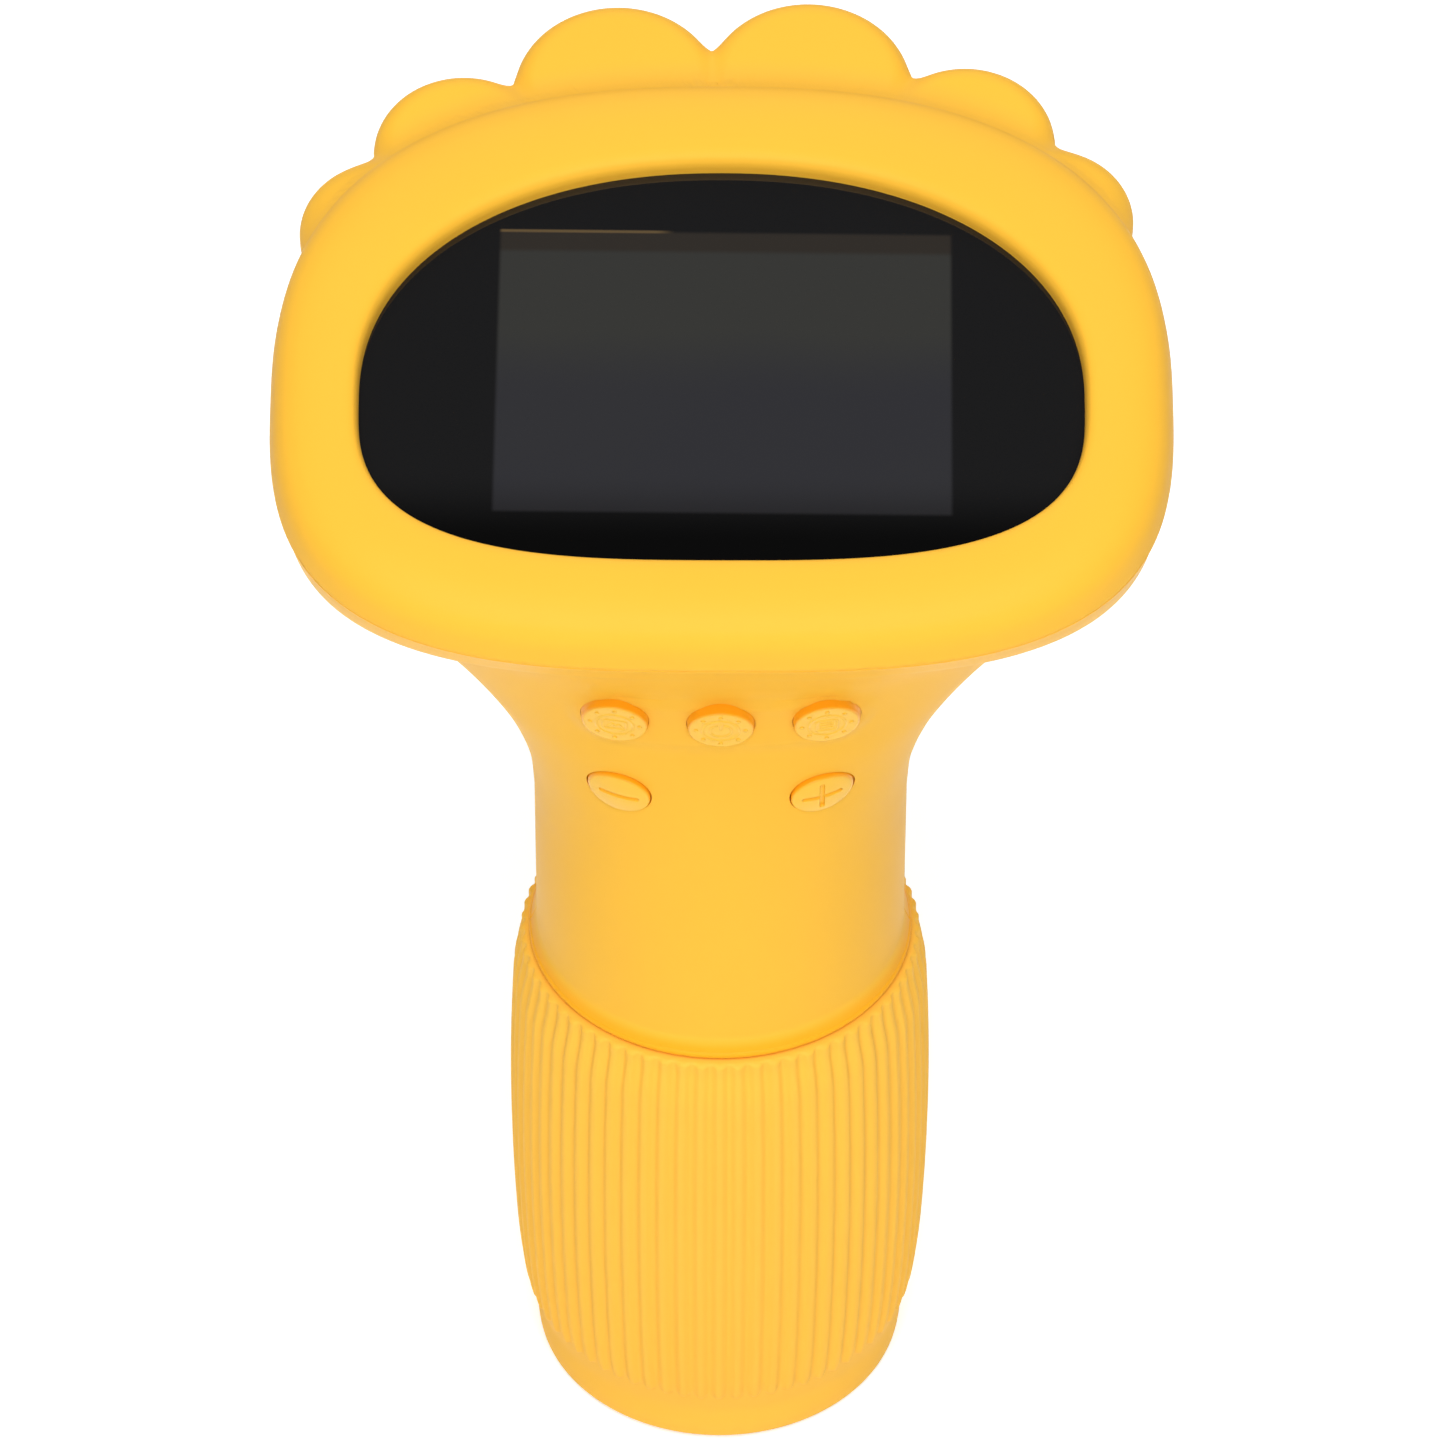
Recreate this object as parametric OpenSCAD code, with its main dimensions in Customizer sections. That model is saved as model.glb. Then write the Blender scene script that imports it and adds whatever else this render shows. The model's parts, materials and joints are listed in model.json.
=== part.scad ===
// Handheld digital microscope: a screen head with a mane crest, a flared neck with five keys,
// and a ribbed focus sleeve that drives the lens up and down inside the handle.
// The origin is the centre of the foot on the handle's axis, +Z is up and the user is at -Y.

/* [Head] */
// Width of the screen head
head_w = 81.2; // [79.2:0.4:83.2]
// Height of the screen head in its own plane
head_h = 62.9; // [61.9:0.2:64.9]
// Tilt of the screen towards the user in degrees
head_tilt = 14; // [13:0.5:15]
// Height of the screen's centre above the table
screen_z = 123.7; // [122.7:0.1:125.7]
// Width of the dark display window
window_w = 65; // [63.8:0.2:66]
// Height of the dark display window
window_h = 43.1; // [42.3:0.2:43.7]
// Height of the bezel's crest above the window
bezel_rise = 2.1; // [1.5:0.1:3]
// Width of the picture on the screen
picture_w = 40.8; // [38:0.2:41.4]

/* [Mane] */
// Radius of the two top lobes, as a share of half the head's width
top_lobe = 0.236; // [0.22:0.002:0.256]
// Radius of the two middle lobes, as a share of half the head's width
middle_lobe = 0.202; // [0.19:0.002:0.214]
// Radius of the two side lobes, as a share of half the head's width
side_lobe = 0.187; // [0.175:0.002:0.197]
// Thickness of the mane
mane_t = 5; // [4:0.2:5.6]
// Turn of the mane on the head in degrees
mane_turn = 1.5; // [0:0.1:3]

/* [Neck] */
// Diameter of the neck above its collar
neck_d = 35; // [34.6:0.2:36]
// Wall of the housing halves
wall = 2; // [1.8:0.1:2.2]
// Height at which the neck begins to flare
flare_z = 73.4; // [72.4:0.2:74.4]

/* [Keys] */
// Diameter of a key cap
key_d = 5.9; // [5.5:0.1:6.1]
// Travel of a key
key_travel = 0.6; // [0.4:0.1:0.7]
// Distance from the centre key to its neighbours
upper_pitch = 9.6; // [9.2:0.1:10]
// Distance from the centre line to the minus and plus keys
lower_pitch = 9.3; // [8.9:0.1:9.7]

/* [Focus sleeve] */
// Largest diameter of the sleeve over its ribs
sleeve_d = 40.6; // [40:0.2:42]
// Height of the sleeve's top rim
sleeve_top = 53.5; // [52.9:0.1:54.5]
// Number of ribs round the sleeve
rib_count = 68; // [56:2:76]
// Height of a rib above the sleeve
rib_depth = 0.55; // [0.3:0.05:0.7]

/* [Focus drive] */
// Travel of the lens
lens_travel = 6; // [4:0.5:7]
// Turn of the sleeve over that travel in degrees
focus_turn = 120; // [100:5:140]
// Diameter of the follower pins
pin_d = 2.4; // [2:0.1:2.6]

/* [Hidden] */
$fn = 96;

// Colours
yellow = "#ffcb4a";
amber = "#f7b93c";
black = "#17181a";
board_green = "#1f6b45";
steel = "#b9bcc0";
brass = "#c9a24a";
white = "#eeeeea";
clear = "#dfe9ee";
flex_orange = "#c07a2c";

// Clearances
running = 0.05;
gap = 0.3;
eps = 0.05;

// Handle radii, from the neck and the sleeve inwards
neck_r = neck_d / 2;
bore_r = neck_r - wall;
flange_r = bore_r + 0.8;
sleeve_wall = 3.1;
cam_wall = 2.2;
cam_r = sleeve_d / 2 - sleeve_wall;
barrel_r = min(neck_r - 2.5, cam_r - cam_wall);
barrel_bore = barrel_r - 1.8;

// Handle heights
foot_lift = 0.6;
foot_flange_top = 3.2;
led_z = 7;
board_t = 1;
cam_bottom = foot_flange_top + 0.4;
cam_top = sleeve_top - 0.6;
collar_z = sleeve_top + gap;
clamp_z = collar_z + 2.2;
clamp_t = 2;
barrel_top = clamp_z + clamp_t;
web_z = barrel_top - 10;
web_t = 2;
web_hole_r = 6.5;
lens_z = 26;

// Focus drive: rise of the lens per degree, and the groove round a follower pin
lead = lens_travel / focus_turn;
pin_r = pin_d / 2;
groove_half = (pin_r + gap) / lead;
groove_h = lens_travel + pin_d + 1.6;
groove_r = cam_r - 1;
pin_end = groove_r - gap;

// Head outline: half sizes above and below the widest line, with the roundness of each part
head_mid = -1.5;
head_a = head_w / 2;
head_up = head_h * 0.531;
head_down = head_h - head_up;
head_n_up = 2.5;
head_n_down = 3.05;
window_mid = -3.5;
window_a = window_w / 2;
window_up = window_h * 0.571;
window_down = window_h - window_up;
window_n_up = 2.15;
window_n_down = 3.1;
oval_steps = 64;

// Head layers, measured along the screen's normal from the picture plane
glass_t = 1.2;
rim_w = -2;
board_top_w = -8;
main_board_t = 1.2;
board_low_w = board_top_w - main_board_t;
lcd_t = 2.5;

// Share of the distance from the window's edge to the head's edge that the glass lies under the bezel
glass_share = 0.235;
pocket_share = 0.25;

function signed_power(v, e) = sign(v) * pow(abs(v), e);
function oval(a, up, down, n_up, n_down, mid, t) =
    let (n = sin(t) >= 0 ? n_up : n_down,
         b = sin(t) >= 0 ? up : down)
    [a * signed_power(cos(t), 2 / n), mid + b * signed_power(sin(t), 2 / n)];
function head_edge(t, grow = 0) =
    oval(head_a + grow, head_up + grow, head_down + grow, head_n_up, head_n_down, head_mid, t);
function window_edge(t) =
    oval(window_a, window_up, window_down, window_n_up, window_n_down, window_mid, t);
function between(t, share) = window_edge(t) * (1 - share) + head_edge(t) * share;
function step_angle(i) = i * 360 / oval_steps;
// A point of the head's middle plane, given along the screen and along its normal
function head_yz(y, w) =
    [y * cos(head_tilt) - w * sin(head_tilt), screen_z + y * sin(head_tilt) + w * cos(head_tilt)];
function arc(r, from, to, steps, centre) =
    [for (i = [0:steps])
        let (t = from + (to - from) * i / steps)
        centre + r * [cos(t), sin(t)]];

module in_head() {
    translate([0, 0, screen_z])
        rotate([head_tilt, 0, 0])
            children();
}

// Flare of the housing from the neck to the head's rim. Each row is a section, with the shares of the
// front rise and reach, of the rear rise and reach, of the side reach and of the head's own roundness.
flare_rows = [[0, 0, 0, 0, 0, 0],
              [0.1, 0, 0.13, 0.01, 0.02, 0],
              [0.2, 0, 0.23, 0.05, 0.075, 0],
              [0.295, 0, 0.33, 0.13, 0.165, 0],
              [0.39, 0.01, 0.425, 0.26, 0.285, 0.05],
              [0.49, 0.03, 0.52, 0.42, 0.44, 0.1],
              [0.605, 0.095, 0.61, 0.6, 0.615, 0.2],
              [0.725, 0.22, 0.695, 0.78, 0.78, 0.35],
              [0.83, 0.44, 0.775, 0.93, 0.905, 0.52],
              [0.895, 0.725, 0.85, 1.03, 0.96, 1],
              [0.947, 0.945, 0.925, 1.05, 0.97, 1],
              [1, 1, 1, 1, 1, 1]];
flare_last = len(flare_rows) - 1;
front_rim = head_yz(head_mid - head_down, rim_w);
rear_rim = head_yz(head_mid + head_up, rim_w);
function catmull(a, b, c, d, t) =
    0.5 * (2 * b + (c - a) * t + (2 * a - 5 * b + 4 * c - d) * t * t + (3 * b - a - 3 * c + d) * t * t * t);
function flare_row(s) =
    let (k = min(floor(s), flare_last - 1))
    catmull(flare_rows[max(k - 1, 0)], flare_rows[k], flare_rows[k + 1],
            flare_rows[min(k + 2, flare_last)], s - k);
function flare_point(s, inset, t, drop = 0) =
    let (row = flare_row(s),
         front = [-neck_r - row[1] * (-front_rim[0] - neck_r), flare_z + row[0] * (front_rim[1] - flare_z)],
         rear = [neck_r + row[3] * (rear_rim[0] - neck_r), flare_z + row[2] * (rear_rim[1] - flare_z)],
         seam = front + (rear - front) * (0.5 + row[5] * (head_down / head_h - 0.5)),
         reach = norm(sin(t) >= 0 ? rear - seam : front - seam),
         across = (rear - front) / norm(rear - front),
         n = 2 + row[5] * ((sin(t) >= 0 ? head_n_up : head_n_down) - 2),
         side = neck_r + row[4] * (head_a - neck_r) - inset,
         along = (reach - inset) * signed_power(sin(t), 2 / n))
    [side * signed_power(cos(t), 2 / n), seam[0] + along * across[0], seam[1] + along * across[1] - drop];
// Sections from just inside the neck tube up to the rim
ring_rows = concat([0], [for (i = [0:2 * flare_last]) i / 2]);
ring_last = len(ring_rows) - 1;
half_steps = oval_steps / 2;
function half_ring(j, inset, start) =
    [for (i = [0:half_steps]) flare_point(ring_rows[j], inset, start + step_angle(i), j == 0 ? 1 : 0)];
function reversed(list) = [for (i = [len(list) - 1:-1:0]) list[i]];
function skin(loops, size) =
    [for (j = [0:loops - 2], i = [0:size - 1])
        let (a = j * size + i,
             b = j * size + (i + 1) % size)
        each [[a, b + size, b], [a, a + size, b + size]]];

// Half of the flared shell, from the seam round the rear (start 0) or round the front (start 180)
module half_flare(start) {
    loops = [for (j = [0:ring_last])
                concat(half_ring(j, eps, start), reversed(half_ring(j, wall - eps, start)))];
    size = 2 * (half_steps + 1);
    top = ring_last * size;
    polyhedron(
        points = [for (l = loops) each l],
        faces = concat(
            skin(ring_last + 1, size),
            [for (i = [0:half_steps - 1]) [i, i + 1, size - 2 - i, size - 1 - i]],
            [for (i = [0:half_steps - 1]) top * [1, 1, 1, 1] + [size - 1 - i, size - 2 - i, i + 1, i]]));
}
// The same half as a filled body, a little under the outer skin, which trims posts to the wall
module half_fill(start) {
    loops = [for (j = [0:ring_last]) half_ring(j, wall / 2, start)];
    size = half_steps + 1;
    polyhedron(
        points = [for (l = loops) each l],
        faces = concat(
            skin(ring_last + 1, size),
            [[for (i = [0:size - 1]) i]],
            [[for (i = [size - 1:-1:0]) ring_last * size + i]]));
}
// Half of the neck tube with its rounded collar and the groove that clamps the barrel's flange
module half_neck(start) {
    lip = 0.75;
    rotate_extrude(angle = 180, start = start)
        polygon(concat(
            [[bore_r, collar_z], [neck_r + 0.4, collar_z]],
            arc(0.4, -60, 60, 4, [neck_r + lip - 0.4, collar_z + 0.4]),
            arc(2, 200, 180, 3, [neck_r + 2, collar_z + 2.4]),
            [[neck_r, flare_z], [bore_r, flare_z], [bore_r, barrel_top], [flange_r, barrel_top],
             [flange_r, clamp_z], [bore_r, clamp_z]]));
}

// Keys: place across, height, distance of the cap's centre in front of the axis, depth of its flange
upper_z = 98;
lower_z = 86.3;
key_r = key_d / 2;
key_hole_r = key_r + 0.2;
key_flange_r = key_r + 0.9;
key_flange_t = 0.9;
key_board_y = -6.5;
switch_h = 1.8;
switch_floor = 0.2;
plunger_h = 1;
plunger_r = 1.2;
stem_r = 1.4;
upper_flange_depth = 5.2;
lower_flange_depth = 6;
stem_y = key_board_y - switch_h - plunger_h;
keys = [[-upper_pitch, upper_z, neck_r + 1.4, upper_flange_depth],
        [0, upper_z, neck_r + 2.2, upper_flange_depth],
        [upper_pitch, upper_z, neck_r + 1.4, upper_flange_depth],
        [-lower_pitch, lower_z, neck_r - 1.1, lower_flange_depth],
        [lower_pitch, lower_z, neck_r - 1.1, lower_flange_depth]];

module at_key(i) {
    translate([keys[i][0], 0, keys[i][1]])
        rotate([90, 0, 0])
            children();
}

// Screw places: bezel and board screws lie along the screen's normal
bezel_posts = [[30.5, 16.5], [-30.5, 16.5], [head_a - 4.2, -8], [4.2 - head_a, -8]];
bezel_post_r = 1.8;
bezel_post_w = -7;
bezel_seat_w = bezel_post_w - 2.4;
boss_r = 3.2;
board_posts = [[24, 14], [-24, 14], [24, -16], [-24, -16]];
board_post_r = 2.2;
neck_screw_x = neck_r - 6.3;
neck_screw_z = 67;
neck_screw_seat = 6.5;
neck_post_h = 9;
neck_post_r = 3;
key_posts = [[-9, 79.8], [9, 79.8], [0, 105.2]];
key_post_r = 1.9;
screw_r = 0.8;
screw_cap_r = 1.7;
screw_cap_h = 1.3;
pocket_r = screw_cap_r + gap;
clear_hole_r = 1.1;
bezel_screw_grip = 5.5;
board_screw_l = 5;
neck_screw_grip = 7;
key_screw_grip = 5;

// A pan-head screw whose head sits on z = 0 and whose shank points down
module screw(length) {
    translate([0, 0, -length])
        cylinder(h = length, r = screw_r);
    difference() {
        cylinder(h = screw_cap_h, r = screw_cap_r);
        for (turn = [0, 90])
            rotate([0, 0, turn])
                translate([-screw_cap_r * 0.6, -0.2, screw_cap_h / 2])
                    cube([screw_cap_r * 1.2, 0.4, screw_cap_h]);
    }
}
module along_y(x, z) {
    translate([x, 0, z])
        rotate([-90, 0, 0])
            children();
}

// Posts that rise from the wall under the head, and the holes in them
module head_bosses(pair) {
    in_head()
        for (p = pair) {
            translate([bezel_posts[p][0], bezel_posts[p][1], -40])
                cylinder(h = 40 + bezel_post_w, r = boss_r);
            translate([board_posts[p][0], board_posts[p][1], -40])
                cylinder(h = 40 + board_low_w, r = board_post_r);
        }
}
module head_boss_holes(pair) {
    in_head()
        for (p = pair) {
            translate([bezel_posts[p][0], bezel_posts[p][1], -40]) {
                cylinder(h = 40, r = clear_hole_r);
                cylinder(h = 40 + bezel_seat_w, r = pocket_r);
            }
            translate([board_posts[p][0], board_posts[p][1], board_low_w - board_screw_l])
                cylinder(h = board_screw_l + 1, r = screw_r);
        }
}

module front_housing() {
    color(yellow)
        difference() {
            union() {
                half_neck(180);
                half_flare(180);
                intersection() {
                    union() {
                        head_bosses([2, 3]);
                        for (p = key_posts)
                            along_y(p[0], p[1])
                                translate([0, 0, -40])
                                    cylinder(h = 40 + key_board_y, r = key_post_r);
                    }
                    half_fill(180);
                }
                for (x = [-neck_screw_x, neck_screw_x])
                    along_y(x, neck_screw_z)
                        translate([0, 0, -neck_post_h])
                            cylinder(h = neck_post_h, r = neck_post_r);
            }
            for (i = [0:4])
                at_key(i)
                    cylinder(h = 40, r = key_hole_r);
            for (x = [-neck_screw_x, neck_screw_x])
                along_y(x, neck_screw_z)
                    translate([0, 0, -neck_screw_grip])
                        cylinder(h = neck_screw_grip + 1, r = screw_r);
            for (p = key_posts)
                along_y(p[0], p[1])
                    translate([0, 0, key_board_y - key_screw_grip])
                        cylinder(h = key_screw_grip + 1, r = screw_r);
            head_boss_holes([2, 3]);
        }
}

// The battery's shelf across the rear half of the neck
shelf_t = 2;
shelf_z = neck_screw_z + neck_post_r + 0.8;
battery_z = shelf_z + shelf_t;
usb_size = [9, 7.4, 3.2];
usb_y = 22.2;
card_size = [14, 14.5, 1.9];
card_x = 13;
card_y = 10.7;
peg_r = 1.2;
peg_w = rim_w - 2;
lobe_x = head_a * [0.217, 0.569, 0.751];
lobe_y = [head_up + head_mid + 1.2, head_up + head_mid - 5.2, head_up + head_mid - 14.1];
lobe_r = head_a * [top_lobe, middle_lobe, side_lobe];

module rear_housing() {
    color(yellow)
        difference() {
            union() {
                half_neck(0);
                half_flare(0);
                intersection() {
                    head_bosses([0, 1]);
                    half_fill(0);
                }
                for (x = [-neck_screw_x, neck_screw_x])
                    along_y(x, neck_screw_z)
                        cylinder(h = neck_post_h, r = neck_post_r);
                rotate_extrude(angle = 180)
                    translate([0, shelf_z])
                        square([bore_r + wall / 2, shelf_t]);
            }
            translate([-6, -1, shelf_z - 1])
                cube([12, 3, shelf_t + 2]);
            for (x = [-neck_screw_x, neck_screw_x])
                along_y(x, neck_screw_z) {
                    translate([0, 0, -1])
                        cylinder(h = 20, r = clear_hole_r);
                    translate([0, 0, neck_screw_seat])
                        cylinder(h = 20, r = pocket_r);
                }
            head_boss_holes([0, 1]);
            in_head() {
                translate([0, usb_y, board_low_w - usb_size[2] / 2])
                    usb_shape(gap, 40);
                translate([card_x - card_size[0] / 2 + 1, card_y + 4, board_low_w - card_size[2]])
                    cube([card_size[0] - 2, 40, card_size[2] - 0.3]);
                for (side = [-1, 1])
                    translate([side * lobe_x[0], 0, peg_w])
                        rotate([-90, 0, 0])
                            cylinder(h = 60, r = peg_r + running);
            }
        }
}
// Flat oval tube section of the charging socket, along +Y
module usb_shape(grow, length) {
    r = usb_size[2] / 2 + grow;
    half = usb_size[0] / 2 - usb_size[2] / 2;
    for (side = [-1, 1])
        translate([side * half, 0, 0])
            rotate([-90, 0, 0])
                cylinder(h = length, r = r);
    translate([-half, 0, -r])
        cube([2 * half, length, 2 * r]);
}

// Section of the bezel ring: share of the way from the window to the head's edge, and height
crest_w = glass_t + bezel_rise;
bezel_section = [[0, glass_t], [0.02, glass_t + 0.38 * bezel_rise], [0.08, glass_t + 0.73 * bezel_rise],
                 [0.18, crest_w - 0.1], [0.32, crest_w], [0.48, crest_w - 0.1], [0.63, crest_w - 0.38],
                 [0.77, crest_w - 0.9], [0.89, crest_w - 1.8], [0.97, crest_w - 3.3], [1, rim_w],
                 [0.79, rim_w], [0.76, 0.2], [pocket_share, 0.2], [pocket_share, glass_t]];
module bezel() {
    size = len(bezel_section);
    color(yellow)
        in_head()
            difference() {
                union() {
                    polyhedron(
                        points = [for (i = [0:oval_steps - 1], p = bezel_section)
                                     let (e = between(step_angle(i), p[0]))
                                     [e[0], e[1], p[1]]],
                        faces = [for (i = [0:oval_steps - 1], k = [0:size - 1])
                                    let (a = i * size + k,
                                         b = i * size + (k + 1) % size,
                                         c = ((i + 1) % oval_steps) * size + k,
                                         d = ((i + 1) % oval_steps) * size + (k + 1) % size)
                                    each [[a, d, b], [a, c, d]]]);
                    for (p = bezel_posts)
                        translate([p[0], p[1], bezel_post_w])
                            cylinder(h = -bezel_post_w + 0.7, r = bezel_post_r);
                }
                for (p = bezel_posts)
                    translate([p[0], p[1], bezel_post_w - 1])
                        cylinder(h = bezel_screw_grip + 1, r = screw_r);
            }
}

// One mane lobe: a flat round cushion with soft edges
module lobe(r) {
    soft = mane_t * 0.44;
    low = rim_w + 1.5 - mane_t;
    high = rim_w + 1.5;
    rotate_extrude()
        polygon(concat(
            [[0, low]],
            arc(soft, -90, 0, 5, [r - soft, low + soft]),
            arc(soft, 0, 90, 5, [r - soft, high - soft]),
            [[0, high]]));
}
module mane_crest() {
    color(yellow)
        in_head() {
            difference() {
                translate([0, head_mid, 0])
                    rotate([0, 0, mane_turn])
                        for (i = [0:2], side = [-1, 1])
                            translate([side * lobe_x[i], lobe_y[i] - head_mid, 0])
                                lobe(lobe_r[i]);
                translate([0, 0, -4 * mane_t])
                    linear_extrude(8 * mane_t)
                        polygon([for (i = [0:oval_steps - 1]) head_edge(step_angle(i), 0.1)]);
            }
            for (side = [-1, 1])
                translate([side * lobe_x[0], head_mid + head_up - 4, peg_w])
                    rotate([-90, 0, 0])
                        cylinder(h = 6, r = peg_r);
        }
}

module display_window() {
    color(black)
        in_head()
            linear_extrude(glass_t)
                polygon([for (i = [0:oval_steps - 1]) between(step_angle(i), glass_share)]);
}

// The panel round the picture, with a wider lower border for its driver
lcd_border = 2.2;
lcd_low_border = 3.4;
lcd_y = -0.9;
picture_h = picture_w * 0.75;
module lcd_module() {
    color(black)
        in_head()
            translate([-picture_w / 2 - lcd_border, lcd_y - picture_h / 2 - lcd_low_border, -lcd_t])
                cube([picture_w + 2 * lcd_border, picture_h + lcd_border + lcd_low_border, lcd_t]);
}

// A flat plate with round corners, from low to high along Y
module plate(half, low, high, r, t) {
    for (x = [r - half, half - r], y = [low + r, high - r])
        translate([x, y, 0])
            cylinder(h = t, r = r);
    translate([r - half, low, 0])
        cube([2 * (half - r), high - low, t]);
    translate([-half, low + r, 0])
        cube([2 * half, high - low - 2 * r, t]);
}
// Main board under the screen, on the housing's four posts
board_half = 26.8;
board_low = -20.5;
board_high = 24;
module main_board() {
    color(board_green)
        in_head()
            difference() {
                translate([0, 0, board_low_w])
                    plate(board_half, board_low, board_high, 4, main_board_t);
                for (p = board_posts)
                    translate([p[0], p[1], board_low_w - 1])
                        cylinder(h = 4, r = clear_hole_r);
            }
}
processor_size = [14, 14, 1.4];
processor_y = -4;
module image_processor() {
    color(black)
        in_head()
            translate([-processor_size[0] / 2, processor_y, board_top_w])
                cube(processor_size);
}
module usb_socket() {
    color(steel)
        in_head()
            translate([0, usb_y, board_low_w - usb_size[2] / 2])
                difference() {
                    usb_shape(0, usb_size[1]);
                    translate([0, 1, 0])
                        usb_shape(-0.35, usb_size[1]);
                }
}
module card_socket() {
    color(steel)
        in_head()
            translate([card_x - card_size[0] / 2, card_y, board_low_w - card_size[2]])
                difference() {
                    cube(card_size);
                    translate([1.2, 1, 0.4])
                        cube([card_size[0] - 2.4, card_size[1], card_size[2] - 0.9]);
                }
}
// Flex from the panel's lower edge round the board's edge to its upper face
ribbon_t = 0.25;
lcd_ribbon_w = 18;
flex_w = 8;
module lcd_ribbon() {
    lcd_edge = lcd_y - picture_h / 2 - lcd_low_border;
    outer = board_low - 0.8;
    color(flex_orange)
        in_head()
            rotate([90, 0, 90])
                translate([0, 0, -lcd_ribbon_w / 2])
                    linear_extrude(lcd_ribbon_w)
                        polygon([[lcd_edge + 3, -lcd_t], [outer, -lcd_t], [outer, board_top_w],
                                 [lcd_edge + 6, board_top_w], [lcd_edge + 6, board_top_w + ribbon_t],
                                 [outer + ribbon_t, board_top_w + ribbon_t],
                                 [outer + ribbon_t, -lcd_t - ribbon_t], [lcd_edge + 3, -lcd_t - ribbon_t]]);
}

battery_size = [19.6, 7.6, 36];
battery_y = 2.2;
module battery_cell() {
    r = battery_size[1] / 2;
    half = battery_size[0] / 2 - r;
    color(steel)
        translate([0, battery_y + r, battery_z]) {
            for (side = [-1, 1])
                translate([side * half, 0, 0])
                    cylinder(h = battery_size[2], r = r);
            translate([-half, -r, 0])
                cube([2 * half, 2 * r, battery_size[2]]);
        }
}
// Height of the main board's under face above a place on the axis plane
function under_board_z(y) = screen_z + (board_low_w + y * sin(head_tilt)) / cos(head_tilt);
lead_r = 0.6;
module battery_leads() {
    low = battery_z + battery_size[2];
    y = battery_y + battery_size[1] / 2;
    color("firebrick")
        for (x = [-3, 3])
            translate([x, y, low])
                cylinder(h = under_board_z(y - lead_r) - low, r = lead_r);
}

key_board_w = 26;
key_board_low = 77.2;
key_board_high = 108;
module key_board() {
    color(board_green)
        difference() {
            translate([-key_board_w / 2, key_board_y, key_board_low])
                cube([key_board_w, board_t, key_board_high - key_board_low]);
            for (p = key_posts)
                along_y(p[0], p[1])
                    translate([0, 0, key_board_y - 1])
                        cylinder(h = 3, r = clear_hole_r);
        }
}
module tact_switches() {
    half = 2.3;
    color(steel)
        for (k = keys)
            difference() {
                translate([k[0] - half, key_board_y - switch_h, k[1] - half])
                    cube([2 * half, switch_h, 2 * half]);
                along_y(k[0], k[1])
                    translate([0, 0, key_board_y - switch_h - 1])
                        cylinder(h = 1 + switch_h - switch_floor, r = plunger_r + running);
            }
}
module key_ribbon() {
    y = key_board_y + board_t;
    low = key_board_high - 5;
    color(flex_orange)
        translate([2 - key_board_w / 2, y, low])
            cube([flex_w, ribbon_t, under_board_z(y) - low]);
}

// A key cap: round head through the wall, inner flange that keeps it in, and a stem to its switch.
// The head is cut to the swell of the neck there, turned down by face_tilt.
module key_cap(i, swell_r, face_tilt) {
    place = keys[i];
    flange_y = place[2] - place[3];
    intersection() {
        union() {
            at_key(i)
                translate([0, 0, flange_y - key_flange_t])
                    cylinder(h = place[2] + 4 - flange_y, r = key_r);
            at_key(i)
                translate([0, 0, flange_y - key_flange_t])
                    cylinder(h = key_flange_t, r = key_flange_r);
        }
        translate([0, -place[2], place[1]])
            rotate([face_tilt, 0, 0])
                translate([0, swell_r - swell_drop(place[0], swell_r), 0])
                    cylinder(h = 40, r = swell_r, center = true);
    }
    at_key(i)
        translate([0, 0, -stem_y])
            cylinder(h = flange_y - key_flange_t / 2 + stem_y, r = stem_r);
}
function swell_drop(x, r) = r - sqrt(r * r - x * x);
upper_swell_r = 56;
lower_swell_r = 24.4;
upper_face_tilt = 13.4;
lower_face_tilt = 3;
module photo_key() {
    color(amber) key_cap(0, upper_swell_r, upper_face_tilt);
}
module power_key() {
    color(amber) key_cap(1, upper_swell_r, upper_face_tilt);
}
module menu_key() {
    color(amber) key_cap(2, upper_swell_r, upper_face_tilt);
}
module minus_key() {
    color(amber) key_cap(3, lower_swell_r, lower_face_tilt);
}
module plus_key() {
    color(amber) key_cap(4, lower_swell_r, lower_face_tilt);
}
plunger_low = key_travel + switch_floor + gap;
module plunger(i) {
    color(black)
        at_key(i)
            translate([0, 0, -key_board_y + plunger_low])
                cylinder(h = switch_h + plunger_h - plunger_low, r = plunger_r);
}
module photo_plunger() {
    plunger(0);
}
module power_plunger() {
    plunger(1);
}
module menu_plunger() {
    plunger(2);
}
module minus_plunger() {
    plunger(3);
}
module plus_plunger() {
    plunger(4);
}

// Fixed tube inside the sleeve, with the sensor's web and two guide slots for the follower pins
module optical_barrel() {
    slot_half = lens_travel / 2 + gap;
    color(black)
        difference() {
            rotate_extrude()
                polygon([[barrel_bore, foot_flange_top], [barrel_r, foot_flange_top], [barrel_r, clamp_z],
                         [flange_r, clamp_z], [flange_r, barrel_top], [barrel_bore, barrel_top],
                         [barrel_bore, web_z + web_t], [web_hole_r, web_z + web_t], [web_hole_r, web_z],
                         [barrel_bore, web_z]]);
            for (side = [0, 180])
                rotate([0, 0, side]) {
                    for (end = [-1, 1])
                        translate([barrel_bore - 2, 0, lens_z + end * slot_half])
                            rotate([0, 90, 0])
                                cylinder(h = 5, r = pin_r + running);
                    translate([barrel_bore - 2, -pin_r - running, lens_z - slot_half])
                        cube([5, pin_d + 2 * running, 2 * slot_half]);
                }
            for (p = sensor_posts)
                translate([p[0], p[1], web_z - 1])
                    cylinder(h = web_t + 2, r = screw_r);
        }
}
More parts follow.
